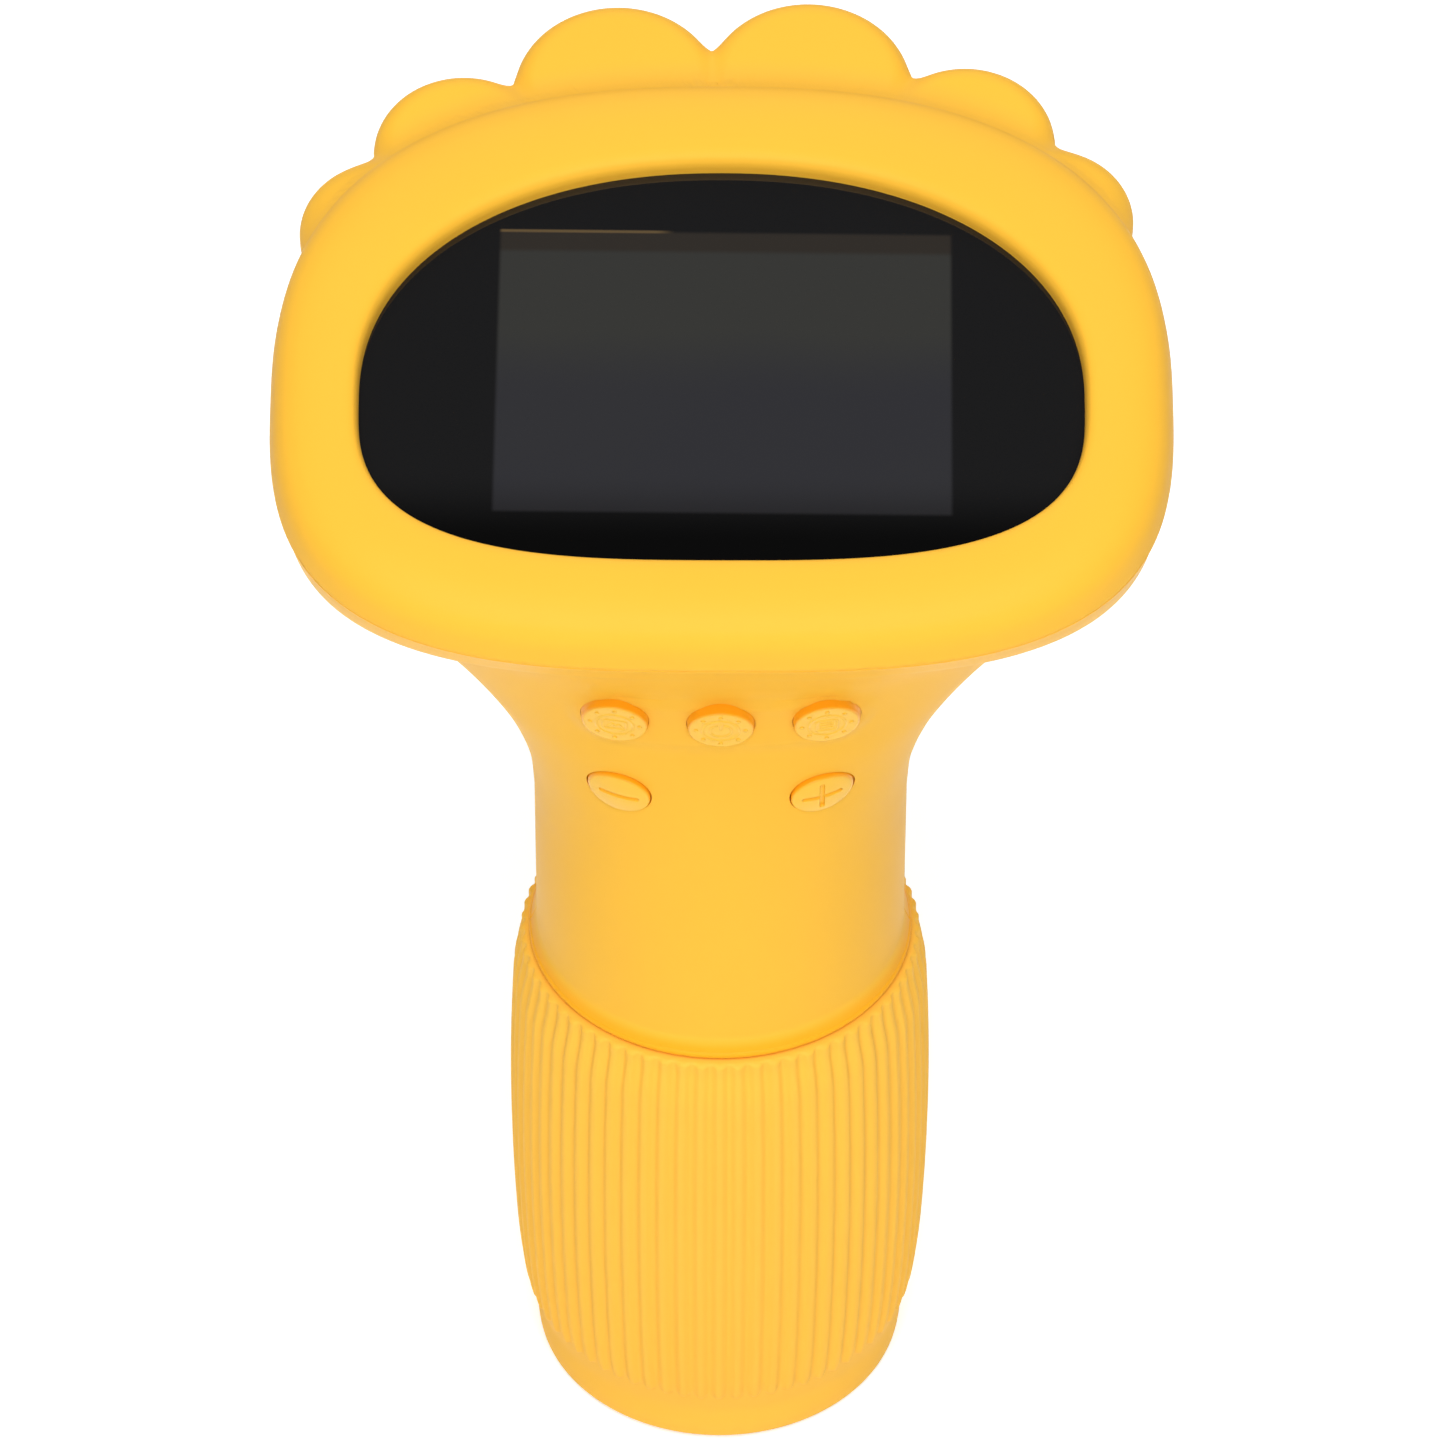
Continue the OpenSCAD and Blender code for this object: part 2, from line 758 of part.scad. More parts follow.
// Ring inside the sleeve with two helical grooves that push the follower pins
module cam_ring() {
    color(black)
        difference() {
            translate([0, 0, cam_bottom])
                difference() {
                    cylinder(h = cam_top - cam_bottom, r = cam_r);
                    translate([0, 0, -1])
                        cylinder(h = cam_top, r = barrel_r + running);
                }
            for (side = [0, 180])
                rotate([0, 0, side])
                    translate([0, 0, lens_z - groove_h / 2])
                        rotate([0, 0, groove_h / 2 / lead])
                            linear_extrude(groove_h, twist = groove_h / lead, slices = 28, $fn = 24)
                                polygon(concat(
                                    arc(groove_r, -groove_half, groove_half, 10, [0, 0]),
                                    arc(barrel_r - 0.5, groove_half, -groove_half, 4, [0, 0])));
        }
}

// Outer line of the sleeve over its ribs: a long barrel swell, tucked in at the foot, with a round shoulder
swell_mid = 31;
swell_flat = 600;
tuck_z = 14;
tuck = 1.2;
rib_low = 7;
band_z = 4.4;
shoulder_z = sleeve_top - 6;
rim_r = sleeve_d / 2 - 1.6;
base_r = sleeve_d / 2 - 2.4;
function swell(z) = sleeve_d / 2 - pow(z - swell_mid, 2) / swell_flat
                    - tuck * pow(max(tuck_z - z, 0) / tuck_z, 2);
shoulder_steps = 3;
shoulder = [for (i = [1:shoulder_steps])
               let (t = i / shoulder_steps)
               [swell(shoulder_z) + (rim_r - swell(shoulder_z)) * t * t * (1.6 - 0.6 * t),
                shoulder_z + (sleeve_top - shoulder_z) * t]];
rib_step = (shoulder_z - rib_low) / 3;
rib_line = concat([for (i = [0:3]) [swell(rib_low + i * rib_step), rib_low + i * rib_step]], shoulder);
module focus_sleeve() {
    core_line = concat(
        [[base_r, foot_lift], [base_r + 0.15, foot_lift + 1.6], [swell(band_z) - rib_depth, band_z]],
        [for (p = rib_line) [p[0] - rib_depth, p[1]]]);
    rib_angle = 360 / rib_count;
    rib_fill = 0.52;
    color(yellow) {
        rotate_extrude()
            polygon(concat([[cam_r, foot_lift]], core_line, [[cam_r, sleeve_top]]));
        intersection() {
            rotate_extrude()
                polygon(concat([[cam_r + 0.2, rib_low]], rib_line, [[cam_r + 0.2, sleeve_top]]));
            translate([0, 0, rib_low - 1])
                linear_extrude(sleeve_top)
                    polygon([for (i = [0:rib_count - 1])
                                let (mid = i * rib_angle,
                                     half = rib_angle * rib_fill / 2)
                                each [cam_r * [cos(mid - half), sin(mid - half)],
                                      sleeve_d * [cos(mid - half), sin(mid - half)],
                                      sleeve_d * [cos(mid + half), sin(mid + half)],
                                      cam_r * [cos(mid + half), sin(mid + half)]]]);
        }
    }
}

// Lens group that slides in the barrel
carrier_h = 14;
cell_r = 6;
cell_bore = 4.6;
cell_low = lens_z - 9;
carrier_low = lens_z - 7;
stop_low = lens_z - 4;
stop_high = lens_z - 1;
module lens_carrier() {
    color(black)
        difference() {
            translate([0, 0, carrier_low])
                cylinder(h = carrier_h, r = barrel_bore - running);
            translate([0, 0, carrier_low - 1])
                cylinder(h = carrier_h + 2, r = cell_r);
            translate([0, 0, lens_z])
                rotate([0, 90, 0])
                    cylinder(h = 40, r = pin_r, center = true);
        }
}
module follower_pins() {
    color(brass)
        for (side = [0, 180])
            rotate([0, 0, side])
                translate([cell_r + 1, 0, lens_z])
                    rotate([0, 90, 0])
                        cylinder(h = pin_end - cell_r - 1, r = pin_r);
}
module lens_cell() {
    color(black)
        rotate_extrude()
            polygon([[cell_bore, cell_low], [cell_r + 1.2, cell_low], [cell_r + 1.2, carrier_low],
                     [cell_r, carrier_low], [cell_r, carrier_low + 12], [cell_bore, carrier_low + 12],
                     [cell_bore, stop_high], [2.5, stop_high], [2.5, stop_low], [cell_bore, stop_low]]);
}
// A lens with one flat face at z = 0 and a domed face above it
module dome_lens(h, dome_r) {
    intersection() {
        cylinder(h = h, r = cell_bore);
        translate([0, 0, h - dome_r])
            sphere(r = dome_r);
    }
}
lens_h = 3;
lens_dome_r = 11;
ring_h = 1.2;
ring_bore = cell_bore - 0.7;
// Height on a lens at which its ring meets the dome
ring_seat = lens_h - lens_dome_r + sqrt(pow(lens_dome_r, 2) - pow(ring_bore, 2)) + 0.02;
module front_lens() {
    color(clear)
        translate([0, 0, stop_low])
            mirror([0, 0, 1])
                dome_lens(lens_h, lens_dome_r);
}
module rear_lens() {
    color(clear)
        translate([0, 0, stop_high])
            dome_lens(lens_h, lens_dome_r);
}
module lens_rings() {
    color(steel)
        for (low = [stop_low - ring_seat - ring_h, stop_high + ring_seat])
            translate([0, 0, low])
                difference() {
                    cylinder(h = ring_h, r = cell_bore);
                    translate([0, 0, -1])
                        cylinder(h = ring_h + 2, r = ring_bore);
                }
}

// Image sensor on its board above the web, looking down
sensor_z = web_z + web_t;
sensor_posts = [[3.7 - barrel_bore, 0], [barrel_bore - 3.7, 0]];
module sensor_board() {
    color(board_green)
        difference() {
            translate([0, 0, sensor_z])
                cylinder(h = board_t, r = barrel_bore - 0.4);
            for (p = sensor_posts)
                translate([p[0], p[1], sensor_z - 1])
                    cylinder(h = 4, r = clear_hole_r);
        }
}
module image_sensor() {
    color(black)
        translate([-4, -4, sensor_z - 1.2])
            cube([8, 8, 1.2]);
}
module sensor_screws() {
    color(steel)
        for (p = sensor_posts)
            translate([p[0], p[1], sensor_z + board_t])
                screw(board_t + web_t - 0.4);
}
module sensor_ribbon() {
    y = -0.6;
    low = sensor_z + board_t;
    color(flex_orange)
        translate([-flex_w / 2, y, low])
            cube([flex_w, ribbon_t, under_board_z(y) - low]);
}

// Light ring that shines down through the foot
led_ring_r = barrel_bore - 3.6;
spigot_r = barrel_bore - 1.4;
module led_board() {
    color(white)
        translate([0, 0, led_z])
            difference() {
                cylinder(h = board_t, r = barrel_bore - 0.1);
                translate([0, 0, -1])
                    cylinder(h = 4, r = 7.2);
            }
}
module leds() {
    color(white)
        for (i = [0:7])
            rotate([0, 0, i * 45])
                translate([led_ring_r - 1, -1.2, led_z - 0.8])
                    cube([2, 2.4, 0.8]);
}
module led_clip_ring() {
    color(black)
        translate([0, 0, led_z + board_t])
            difference() {
                cylinder(h = 1.2, r = barrel_bore);
                translate([0, 0, -1])
                    cylinder(h = 4, r = barrel_bore - 1);
            }
}
// Clear cup at the tip: a closed window that rests on the specimen and plugs into the barrel
foot_r = cam_r - 0.4;
foot_window_t = 1.6;
module clear_foot() {
    color(clear)
        rotate_extrude()
            polygon([[0, 0], [foot_r - 0.4, 0], [foot_r, 0.4], [foot_r, foot_flange_top],
                     [barrel_bore, foot_flange_top], [barrel_bore, led_z], [spigot_r, led_z],
                     [spigot_r, foot_window_t], [0, foot_window_t]]);
}

module bezel_screws() {
    color(steel)
        in_head()
            for (p = bezel_posts)
                translate([p[0], p[1], bezel_seat_w])
                    mirror([0, 0, 1])
                        screw(bezel_post_w - bezel_seat_w + bezel_screw_grip - 0.5);
}
module board_screws() {
    color(steel)
        in_head()
            for (p = board_posts)
                translate([p[0], p[1], board_top_w])
                    screw(main_board_t + board_screw_l - 0.5);
}
module neck_screws() {
    color(steel)
        for (x = [-neck_screw_x, neck_screw_x])
            along_y(x, neck_screw_z)
                translate([0, 0, neck_screw_seat])
                    screw(neck_screw_seat + neck_screw_grip - 0.5);
}
module key_screws() {
    color(steel)
        for (p = key_posts)
            along_y(p[0], p[1])
                translate([0, 0, key_board_y + board_t])
                    screw(board_t + key_screw_grip - 0.5);
}

front_housing();
rear_housing();
bezel();
mane_crest();
display_window();
lcd_module();
main_board();
image_processor();
usb_socket();
card_socket();
lcd_ribbon();
battery_cell();
battery_leads();
key_board();
tact_switches();
key_ribbon();
photo_key();
power_key();
menu_key();
minus_key();
plus_key();
photo_plunger();
power_plunger();
menu_plunger();
minus_plunger();
plus_plunger();
optical_barrel();
cam_ring();
focus_sleeve();
lens_carrier();
follower_pins();
lens_cell();
front_lens();
rear_lens();
lens_rings();
sensor_board();
image_sensor();
sensor_screws();
sensor_ribbon();
led_board();
leds();
led_clip_ring();
clear_foot();
bezel_screws();
board_screws();
neck_screws();
key_screws();
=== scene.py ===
import bpy
import bmesh
import json
import math
import numpy as np
from mathutils import Euler, Matrix, Vector


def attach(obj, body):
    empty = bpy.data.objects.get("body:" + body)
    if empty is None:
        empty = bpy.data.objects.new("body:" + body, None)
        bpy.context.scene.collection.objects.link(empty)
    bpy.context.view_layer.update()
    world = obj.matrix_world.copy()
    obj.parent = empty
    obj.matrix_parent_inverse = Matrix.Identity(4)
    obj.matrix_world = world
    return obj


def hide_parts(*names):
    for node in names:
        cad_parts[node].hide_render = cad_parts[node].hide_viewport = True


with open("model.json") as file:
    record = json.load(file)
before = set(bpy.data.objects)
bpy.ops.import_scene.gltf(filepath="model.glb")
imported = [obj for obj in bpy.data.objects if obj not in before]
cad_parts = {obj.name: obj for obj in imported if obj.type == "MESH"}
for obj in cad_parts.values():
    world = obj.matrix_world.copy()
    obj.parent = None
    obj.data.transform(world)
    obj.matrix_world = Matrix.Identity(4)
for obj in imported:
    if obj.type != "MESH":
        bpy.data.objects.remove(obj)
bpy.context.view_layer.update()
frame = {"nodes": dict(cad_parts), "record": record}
mm = 0.001
scene = bpy.context.scene
print("frame loaded:", len(frame["nodes"]), "nodes")


def linearColour(hexText):
    shares = [int(hexText[i:i + 2], 16) / 255 for i in (1, 3, 5)]
    return tuple(c / 12.92 if c <= 0.04045 else ((c + 0.055) / 1.055) ** 2.4 for c in shares) + (1.0,)


def addNode(tree, kind, settings=None, inputs=None):
    node = tree.nodes.new(kind)
    for name, value in (settings or {}).items():
        setattr(node, name, value)
    for key, value in (inputs or {}).items():
        if isinstance(value, bpy.types.NodeSocket):
            tree.links.new(value, node.inputs[key])
        else:
            node.inputs[key].default_value = value
    return node


# The camera stands in front of the keys and looks down on the tilted screen
photoCamera = {
    "distance": 800 * mm,       # from the aim point on the handle's axis
    "aimHeight": 80.2 * mm,
    "pitch": 43.4,              # degrees down
    "roll": 0.17,               # the picture leans a little to the left
    "focalPixels": 8566,
    "framePixels": 1445,
    "sensor": 36,               # mm
    "shiftPixels": 1.7,
}


def makeCamera(spec):
    pitch = math.radians(spec["pitch"])
    data = bpy.data.cameras.new("photoCamera")
    data.sensor_width = spec["sensor"]
    data.lens = spec["focalPixels"] * spec["sensor"] / spec["framePixels"]
    data.shift_x = spec["shiftPixels"] / spec["framePixels"]
    data.clip_start, data.clip_end = 0.01, 20
    camera = bpy.data.objects.new("photoCamera", data)
    scene.collection.objects.link(camera)
    turn = Matrix.Rotation(math.pi / 2 - pitch, 3, "X") @ Matrix.Rotation(math.radians(spec["roll"]), 3, "Z")
    camera.rotation_euler = turn.to_euler()
    back, rise = spec["distance"] * math.cos(pitch), spec["distance"] * math.sin(pitch)
    camera.location = (0, -back, spec["aimHeight"] + rise)
    scene.camera = camera


makeCamera(photoCamera)
print("camera placed")


# Materials. Each starts from a clean tree and ends in one Principled shader.
def startMaterial(name):
    material = bpy.data.materials.new(name)
    material.use_nodes = True
    tree = material.node_tree
    tree.nodes.clear()
    shader = addNode(tree, "ShaderNodeBsdfPrincipled")
    addNode(tree, "ShaderNodeOutputMaterial", inputs={"Surface": shader.outputs["BSDF"]})
    place = addNode(tree, "ShaderNodeTexCoord").outputs["Object"]
    return material, tree, shader, place


def perMetre(featureMm):
    return 1 / (featureMm * mm)     # noise scale that gives features of this size


# Moulded ABS, spark-eroded mould: a dry, very fine grain that spreads the light.
# wall is a painted deeper orange shade for upright sides in a narrow groove, and lip a painted deeper orange
# for the shade and the sleeve's bounced light at the collar's lip, with the heights in mm between which it
# fades out.
def mouldedAbs(name, light, deep, roughness, grainMm, grainDepthMm, specular, wall=None, lip=None):
    material, tree, shader, place = startMaterial(name)
    cloud = addNode(tree, "ShaderNodeTexNoise", inputs={
        "Vector": place, "Scale": perMetre(14), "Detail": 2.0})
    tone = addNode(tree, "ShaderNodeMix", {"data_type": "RGBA"}, {
        0: cloud.outputs["Fac"], 6: linearColour(deep), 7: linearColour(light)})
    grain = addNode(tree, "ShaderNodeTexNoise", inputs={
        "Vector": place, "Scale": perMetre(grainMm), "Detail": 3.0})
    dull = addNode(tree, "ShaderNodeMapRange", inputs={
        "Value": grain.outputs["Fac"], "To Min": roughness - 0.04, "To Max": roughness + 0.04})
    bump = addNode(tree, "ShaderNodeBump", inputs={
        "Height": grain.outputs["Fac"], "Distance": grainDepthMm * mm, "Strength": 0.6})
    # painted shade: the groove's upright sides get a deeper orange than the face
    if wall:            # upright sides in a narrow groove look a deeper orange than the face
        side = addNode(tree, "ShaderNodeAttribute", {"attribute_name": "wall"})
        tone = addNode(tree, "ShaderNodeMix", {"data_type": "RGBA"}, {
            0: side.outputs["Fac"], 6: tone.outputs[2], 7: linearColour(wall)})
    # painted shade and bounced light: the collar's lip beside the sleeve gets a deeper orange
    if lip:             # so does the collar's lip beside the sleeve
        high = addNode(tree, "ShaderNodeSeparateXYZ", inputs={"Vector": place})
        near = addNode(tree, "ShaderNodeMapRange", {"interpolation_type": "SMOOTHSTEP"}, {
            "Value": high.outputs["Z"], "From Min": lip[1] * mm, "From Max": lip[2] * mm,
            "To Min": 1.0, "To Max": 0.0})
        tone = addNode(tree, "ShaderNodeMix", {"data_type": "RGBA"}, {
            0: near.outputs["Result"], 6: tone.outputs[2], 7: linearColour(lip[0])})
    tree.links.new(tone.outputs[2], shader.inputs["Base Color"])
    tree.links.new(dull.outputs["Result"], shader.inputs["Roughness"])
    tree.links.new(bump.outputs["Normal"], shader.inputs["Normal"])
    shader.inputs["IOR"].default_value = 1.53
    shader.inputs["Specular IOR Level"].default_value = specular
    return material


# One plastic throughout; the sleeve's and the neck's tones are set a little lighter than the head's, painted
# light that makes up for the lamps favouring upward faces
mattAbs = mouldedAbs("matt moulded ABS", "#ffc23a", "#febf38", 0.56, 0.32, 0.012, 0.18)
sleeveAbs = mouldedAbs("matt moulded ABS, sleeve", "#ffc648", "#fec345", 0.60, 0.32, 0.012, 0.18)
# The same plastic from a smoother mould: a satin sheen with a trace of sink waves, and a painted deeper
# orange at the collar's lip for the shade and the sleeve's bounced light
satinAbs = mouldedAbs("satin moulded ABS", "#ffc440", "#fec13e", 0.42, 7.0, 0.010, 0.08,
                      lip=("#ffb424", 54.7, 55.9))
# The caps come from a polished mould and shine a little; their sides get a painted deeper orange shade
keyAbs = mouldedAbs("gloss moulded ABS, keys", "#ffc83d", "#fec53b", 0.24, 5.0, 0.006, 0.22, "#fdac1c")


# Acrylic window, printed black on its back, with the switched-off panel showing through as grey, and with
# painted reflections of the ceiling and the bezel and a painted lit edge
screen = {"height": 123.7 * mm, "tilt": 14.0, "pictureWidth": 40.8 * mm, "pictureHeight": 30.6 * mm,
          "pictureX": 0.2 * mm, "pictureY": -0.9 * mm, "lean": 0.5, "soft": 0.25}


def printedAcrylic():
    material, tree, shader, place = startMaterial("printed acrylic window")
    # back into the screen's own plane, with the picture's centre at zero
    turn = Euler((-math.radians(screen["tilt"]), 0, math.radians(screen["lean"])))
    centre = turn.to_matrix() @ Vector((0, 0, screen["height"]))
    centre += Vector((screen["pictureX"], screen["pictureY"], 0))
    flat = addNode(tree, "ShaderNodeMapping", {"vector_type": "POINT"}, {
        "Vector": place, "Rotation": turn, "Location": -centre})
    axes = addNode(tree, "ShaderNodeSeparateXYZ", inputs={"Vector": flat.outputs["Vector"]})
    across, up = axes.outputs["X"], axes.outputs["Y"]
    wide, tall = [addNode(tree, "ShaderNodeMath", {"operation": "ABSOLUTE"}, {0: way}).outputs[0]
                  for way in (across, up)]
    halfWide, halfTall = screen["pictureWidth"] / 2 / mm, screen["pictureHeight"] / 2 / mm
    # soft steps from nought to one between two places in mm
    share = {}
    for name, way, start, end in (
            ("columns", wide, halfWide + screen["soft"], halfWide - screen["soft"]),
            ("rows", tall, halfTall + screen["soft"], halfTall - screen["soft"]),
            # painted reflection of the ceiling on the glass and panel, fading out above the lower lip
            ("ceilingReflection", up, -18.5, -11.0),         # the ceiling's pale veil ends above the lower lip
            ("rise", up, -3.0, 7.0),            # the panel is warmer towards the top
            ("warm", up, 12.8, 13.5),           # the bezel's warm reflection on the panel
            ("lineFoot", up, 15.1, 15.3), ("lineHead", up, 15.6, 15.4),
            ("lineLeft", across, -20.6, -20.2), ("lineRight", across, -4.5, -6.5)):
        share[name] = addNode(tree, "ShaderNodeMapRange", {"interpolation_type": "SMOOTHSTEP"}, {
            "Value": way, "From Min": start * mm, "From Max": end * mm}).outputs[0]
    # where two steps hold at once: the panel, and a thin lit edge along the left of its upper side
    for name, first, second in (("panel", "columns", "rows"), ("lineTall", "lineFoot", "lineHead"),
                                ("lineWide", "lineLeft", "lineRight"), ("line", "lineTall", "lineWide")):
        share[name] = addNode(tree, "ShaderNodeMath", {"operation": "MULTIPLY"}, {
            0: share[first], 1: share[second]}).outputs[0]
    cloud = addNode(tree, "ShaderNodeTexNoise", inputs={
        "Vector": place, "Scale": perMetre(16), "Detail": 1.0})
    share["drift"] = addNode(tree, "ShaderNodeMath", {"operation": "MULTIPLY_ADD"}, {
        0: cloud.outputs["Fac"], 1: 0.35, 2: share["rise"]}).outputs[0]
    # tones laid over one another, each from a colour or an earlier tone to another
    tones = {}
    for name, part, low, high in (
            ("grey", "drift", "#2c2c31", "#333331"), ("greyFoot", "ceilingReflection", "#1b1a1b", "grey"),
            ("greyTop", "warm", "greyFoot", "#2d2925"), ("glass", "ceilingReflection", "#010101", "#161617"),
            ("printed", "panel", "glass", "greyTop"), ("lit", "line", "printed", "#5c4c34")):
        pair = [tones[tone] if tone in tones else linearColour(tone) for tone in (low, high)]
        tones[name] = addNode(tree, "ShaderNodeMix", {"data_type": "RGBA"}, {
            0: share[part], 6: pair[0], 7: pair[1]}).outputs[2]
    tree.links.new(tones["lit"], shader.inputs["Base Color"])
    shader.inputs["Roughness"].default_value = 0.06
    shader.inputs["IOR"].default_value = 1.49
    shader.inputs["Specular IOR Level"].default_value = 0.5
    return material


windowAcrylic = printedAcrylic()


# Clear parts: bright edges and a faint surface haze
def clearPart(name, tint, ior, roughness):
    material, tree, shader, place = startMaterial(name)
    haze = addNode(tree, "ShaderNodeTexNoise", inputs={"Vector": place, "Scale": perMetre(3), "Detail": 2.0})
    dull = addNode(tree, "ShaderNodeMapRange", inputs={
        "Value": haze.outputs["Fac"], "To Min": roughness, "To Max": roughness + 0.05})
    tree.links.new(dull.outputs["Result"], shader.inputs["Roughness"])
    shader.inputs["Base Color"].default_value = linearColour(tint)
    shader.inputs["IOR"].default_value = ior
    shader.inputs["Transmission Weight"].default_value = 1.0
    return material


# Plain inner parts: a base tone, a second tone in spots of a real size, and a little grain
def plainPart(name, tone, second, spotMm, roughness, metallic=0.0, depthMm=0.004, ior=1.5):
    material, tree, shader, place = startMaterial(name)
    spots = addNode(tree, "ShaderNodeTexNoise", inputs={
        "Vector": place, "Scale": perMetre(spotMm), "Detail": 4.0})
    mix = addNode(tree, "ShaderNodeMix", {"data_type": "RGBA"}, {
        0: spots.outputs["Fac"], 6: linearColour(tone), 7: linearColour(second)})
    dull = addNode(tree, "ShaderNodeMapRange", inputs={
        "Value": spots.outputs["Fac"], "To Min": roughness - 0.06, "To Max": roughness + 0.06})
    bump = addNode(tree, "ShaderNodeBump", inputs={
        "Height": spots.outputs["Fac"], "Distance": depthMm * mm, "Strength": 0.5})
    tree.links.new(mix.outputs[2], shader.inputs["Base Color"])
    tree.links.new(dull.outputs["Result"], shader.inputs["Roughness"])
    tree.links.new(bump.outputs["Normal"], shader.inputs["Normal"])
    shader.inputs["Metallic"].default_value = metallic
    if not metallic:
        shader.inputs["IOR"].default_value = ior
    return material


finishes = {
    "matte_yellow": mattAbs,
    "gloss_yellow": satinAbs,
    "key_yellow": keyAbs,
    "black_glass": windowAcrylic,
    "panel_black": plainPart("panel frame polycarbonate", "#151517", "#1b1b1e", 2.0, 0.55),  # dark sheen
    "board_green": plainPart("solder mask on glass epoxy", "#155c38", "#1f7549", 1.2, 0.35),  # glossy green
    "board_white": plainPart("white solder mask", "#e6e6e0", "#f3f3ee", 1.5, 0.4),  # chalky white
    "chip_black": plainPart("epoxy moulding compound", "#161617", "#232325", 0.4, 0.6),  # dry and speckled
    "steel": plainPart("nickel-plated steel", "#aeb1b5", "#c6c9cc", 0.8, 0.3, 1.0),  # cool, bright glints
    "foil": plainPart("aluminium pouch foil", "#b9bcc0", "#d4d6d8", 3.0, 0.35, 1.0, 0.02),  # crinkled silver
    "copper_flex": plainPart("polyimide flex over copper", "#b0661f", "#cb8434", 1.0, 0.3),  # amber sheen
    "lead_red": plainPart("red PVC insulation", "#a81d1a", "#bd2a24", 0.8, 0.4),  # waxy red
    "black_plastic": plainPart("black glass-filled nylon", "#121213", "#1d1d1f", 0.5, 0.5),  # dull, flecked
    "brass": plainPart("turned brass", "#c59b44", "#d9b25c", 0.5, 0.25, 1.0),  # warm, sharp glints
    "lens_glass": clearPart("crown glass", "#f4fafb", 1.52, 0.0),  # clear, bright rims
    "clear_plastic": clearPart("clear acrylic", "#f1f5f6", 1.49, 0.02),  # clear, faint haze
    "led_white": plainPart("phosphor under clear epoxy", "#efe9b4", "#f8f4cf", 0.6, 0.25),  # glossy cream
}
for part in frame["record"]["subparts"]:
    cadMesh = frame["nodes"][part["node"]].data
    cadMesh.materials.clear()
    cadMesh.materials.append(finishes[part["material_slot"]])
print("materials made:", len(finishes))


# Small mesh helpers
def smoothMesh(mesh, angle=35):
    for face in mesh.polygons:
        face.use_smooth = True
    mesh.set_sharp_from_angle(angle=math.radians(angle))


def finishPiece(obj, material, body, stands=()):
    obj.data.materials.clear()
    obj.data.materials.append(material)
    if stands:
        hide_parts(*stands)
    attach(obj, body)
    return obj


def meshObject(name, points, faces, angle=35, outward=True):
    mesh = bpy.data.meshes.new(name)
    work = bmesh.new()
    corners = [work.verts.new(p) for p in points]
    for face in faces:
        work.faces.new([corners[i] for i in face])
    if outward:
        bmesh.ops.recalc_face_normals(work, faces=work.faces)
    work.to_mesh(mesh)
    work.free()
    smoothMesh(mesh, angle)
    obj = bpy.data.objects.new(name, mesh)
    scene.collection.objects.link(obj)
    return obj


def rows(count, size, closed=True):
    last = size if closed else size - 1
    return [(j * size + i, j * size + (i + 1) % size, (j + 1) * size + (i + 1) % size, (j + 1) * size + i)
            for j in range(count - 1) for i in range(last)]


def stackObject(name, rings, angle=35):
    # rings joined one to the next and closed at both ends
    size, count = len(rings[0]), len(rings)
    ends = [tuple(range(size)), tuple(range(size * (count - 1), size * count))]
    return meshObject(name, [p for ring in rings for p in ring], rows(count, size) + ends, angle)


def rodObject(name, start, end, radius, sides=64):
    start, end = Vector(start), Vector(end)
    along = (end - start).normalized()
    across = along.orthogonal().normalized()
    up = along.cross(across)
    turns = [2 * math.pi * i / sides for i in range(sides)]
    spokes = [radius * (math.cos(t) * across + math.sin(t) * up) for t in turns]
    return stackObject(name, [[place + spoke for spoke in spokes] for place in (start, end)])


def cutWith(obj, tools, operation="DIFFERENCE"):
    for tool in tools:
        step = obj.modifiers.new("cut", "BOOLEAN")
        step.operation, step.solver, step.object = operation, "EXACT", tool
        bakeModifiers(obj)
        bpy.data.objects.remove(tool, do_unlink=True)


def bakeModifiers(obj):
    baked = bpy.data.meshes.new_from_object(obj.evaluated_get(bpy.context.evaluated_depsgraph_get()))
    old = obj.data
    obj.modifiers.clear()
    obj.data = baked
    bpy.data.meshes.remove(old)


def catmull(line, steps):
    out = []
    for k in range(len(line) - 1):
        a, b = line[max(k - 1, 0)], line[k]
        c, d = line[k + 1], line[min(k + 2, len(line) - 1)]
        for j in range(steps):
            out.append(catmullPoint(a, b, c, d, j / steps))
    return out + [tuple(line[-1])]


def catmullPoint(a, b, c, d, t):
    return tuple(0.5 * (2 * q + (r - p) * t + (2 * p - 5 * q + 4 * r - s) * t * t
                        + (3 * q - p - 3 * r + s) * t ** 3) for p, q, r, s in zip(a, b, c, d))


# Node trees for what repeats: named inputs, and realised, dressed geometry at the end
def startTree(name, inputs):
    tree = bpy.data.node_groups.new(name, "GeometryNodeTree")
    tree.interface.new_socket("Geometry", in_out="INPUT", socket_type="NodeSocketGeometry")
    sockets = {}
    for label, kind in inputs:
        socket = tree.interface.new_socket(label, in_out="INPUT", socket_type="NodeSocket" + kind)
        sockets[label] = socket.identifier
    tree.interface.new_socket("Geometry", in_out="OUTPUT", socket_type="NodeSocketGeometry")
    return tree, sockets, addNode(tree, "NodeGroupInput")


def endTree(tree, geometry, material):
    real = addNode(tree, "GeometryNodeRealizeInstances", inputs={"Geometry": geometry})
    dressed = addNode(tree, "GeometryNodeSetMaterial", inputs={
        "Geometry": real.outputs[0], "Material": material})
    addNode(tree, "NodeGroupOutput", inputs={"Geometry": dressed.outputs[0]})


def runTree(obj, tree, sockets, values):
    step = obj.modifiers.new(tree.name, "NODES")
    step.node_group = tree
    for label, value in values.items():
        step[sockets[label]] = value
    bakeModifiers(obj)


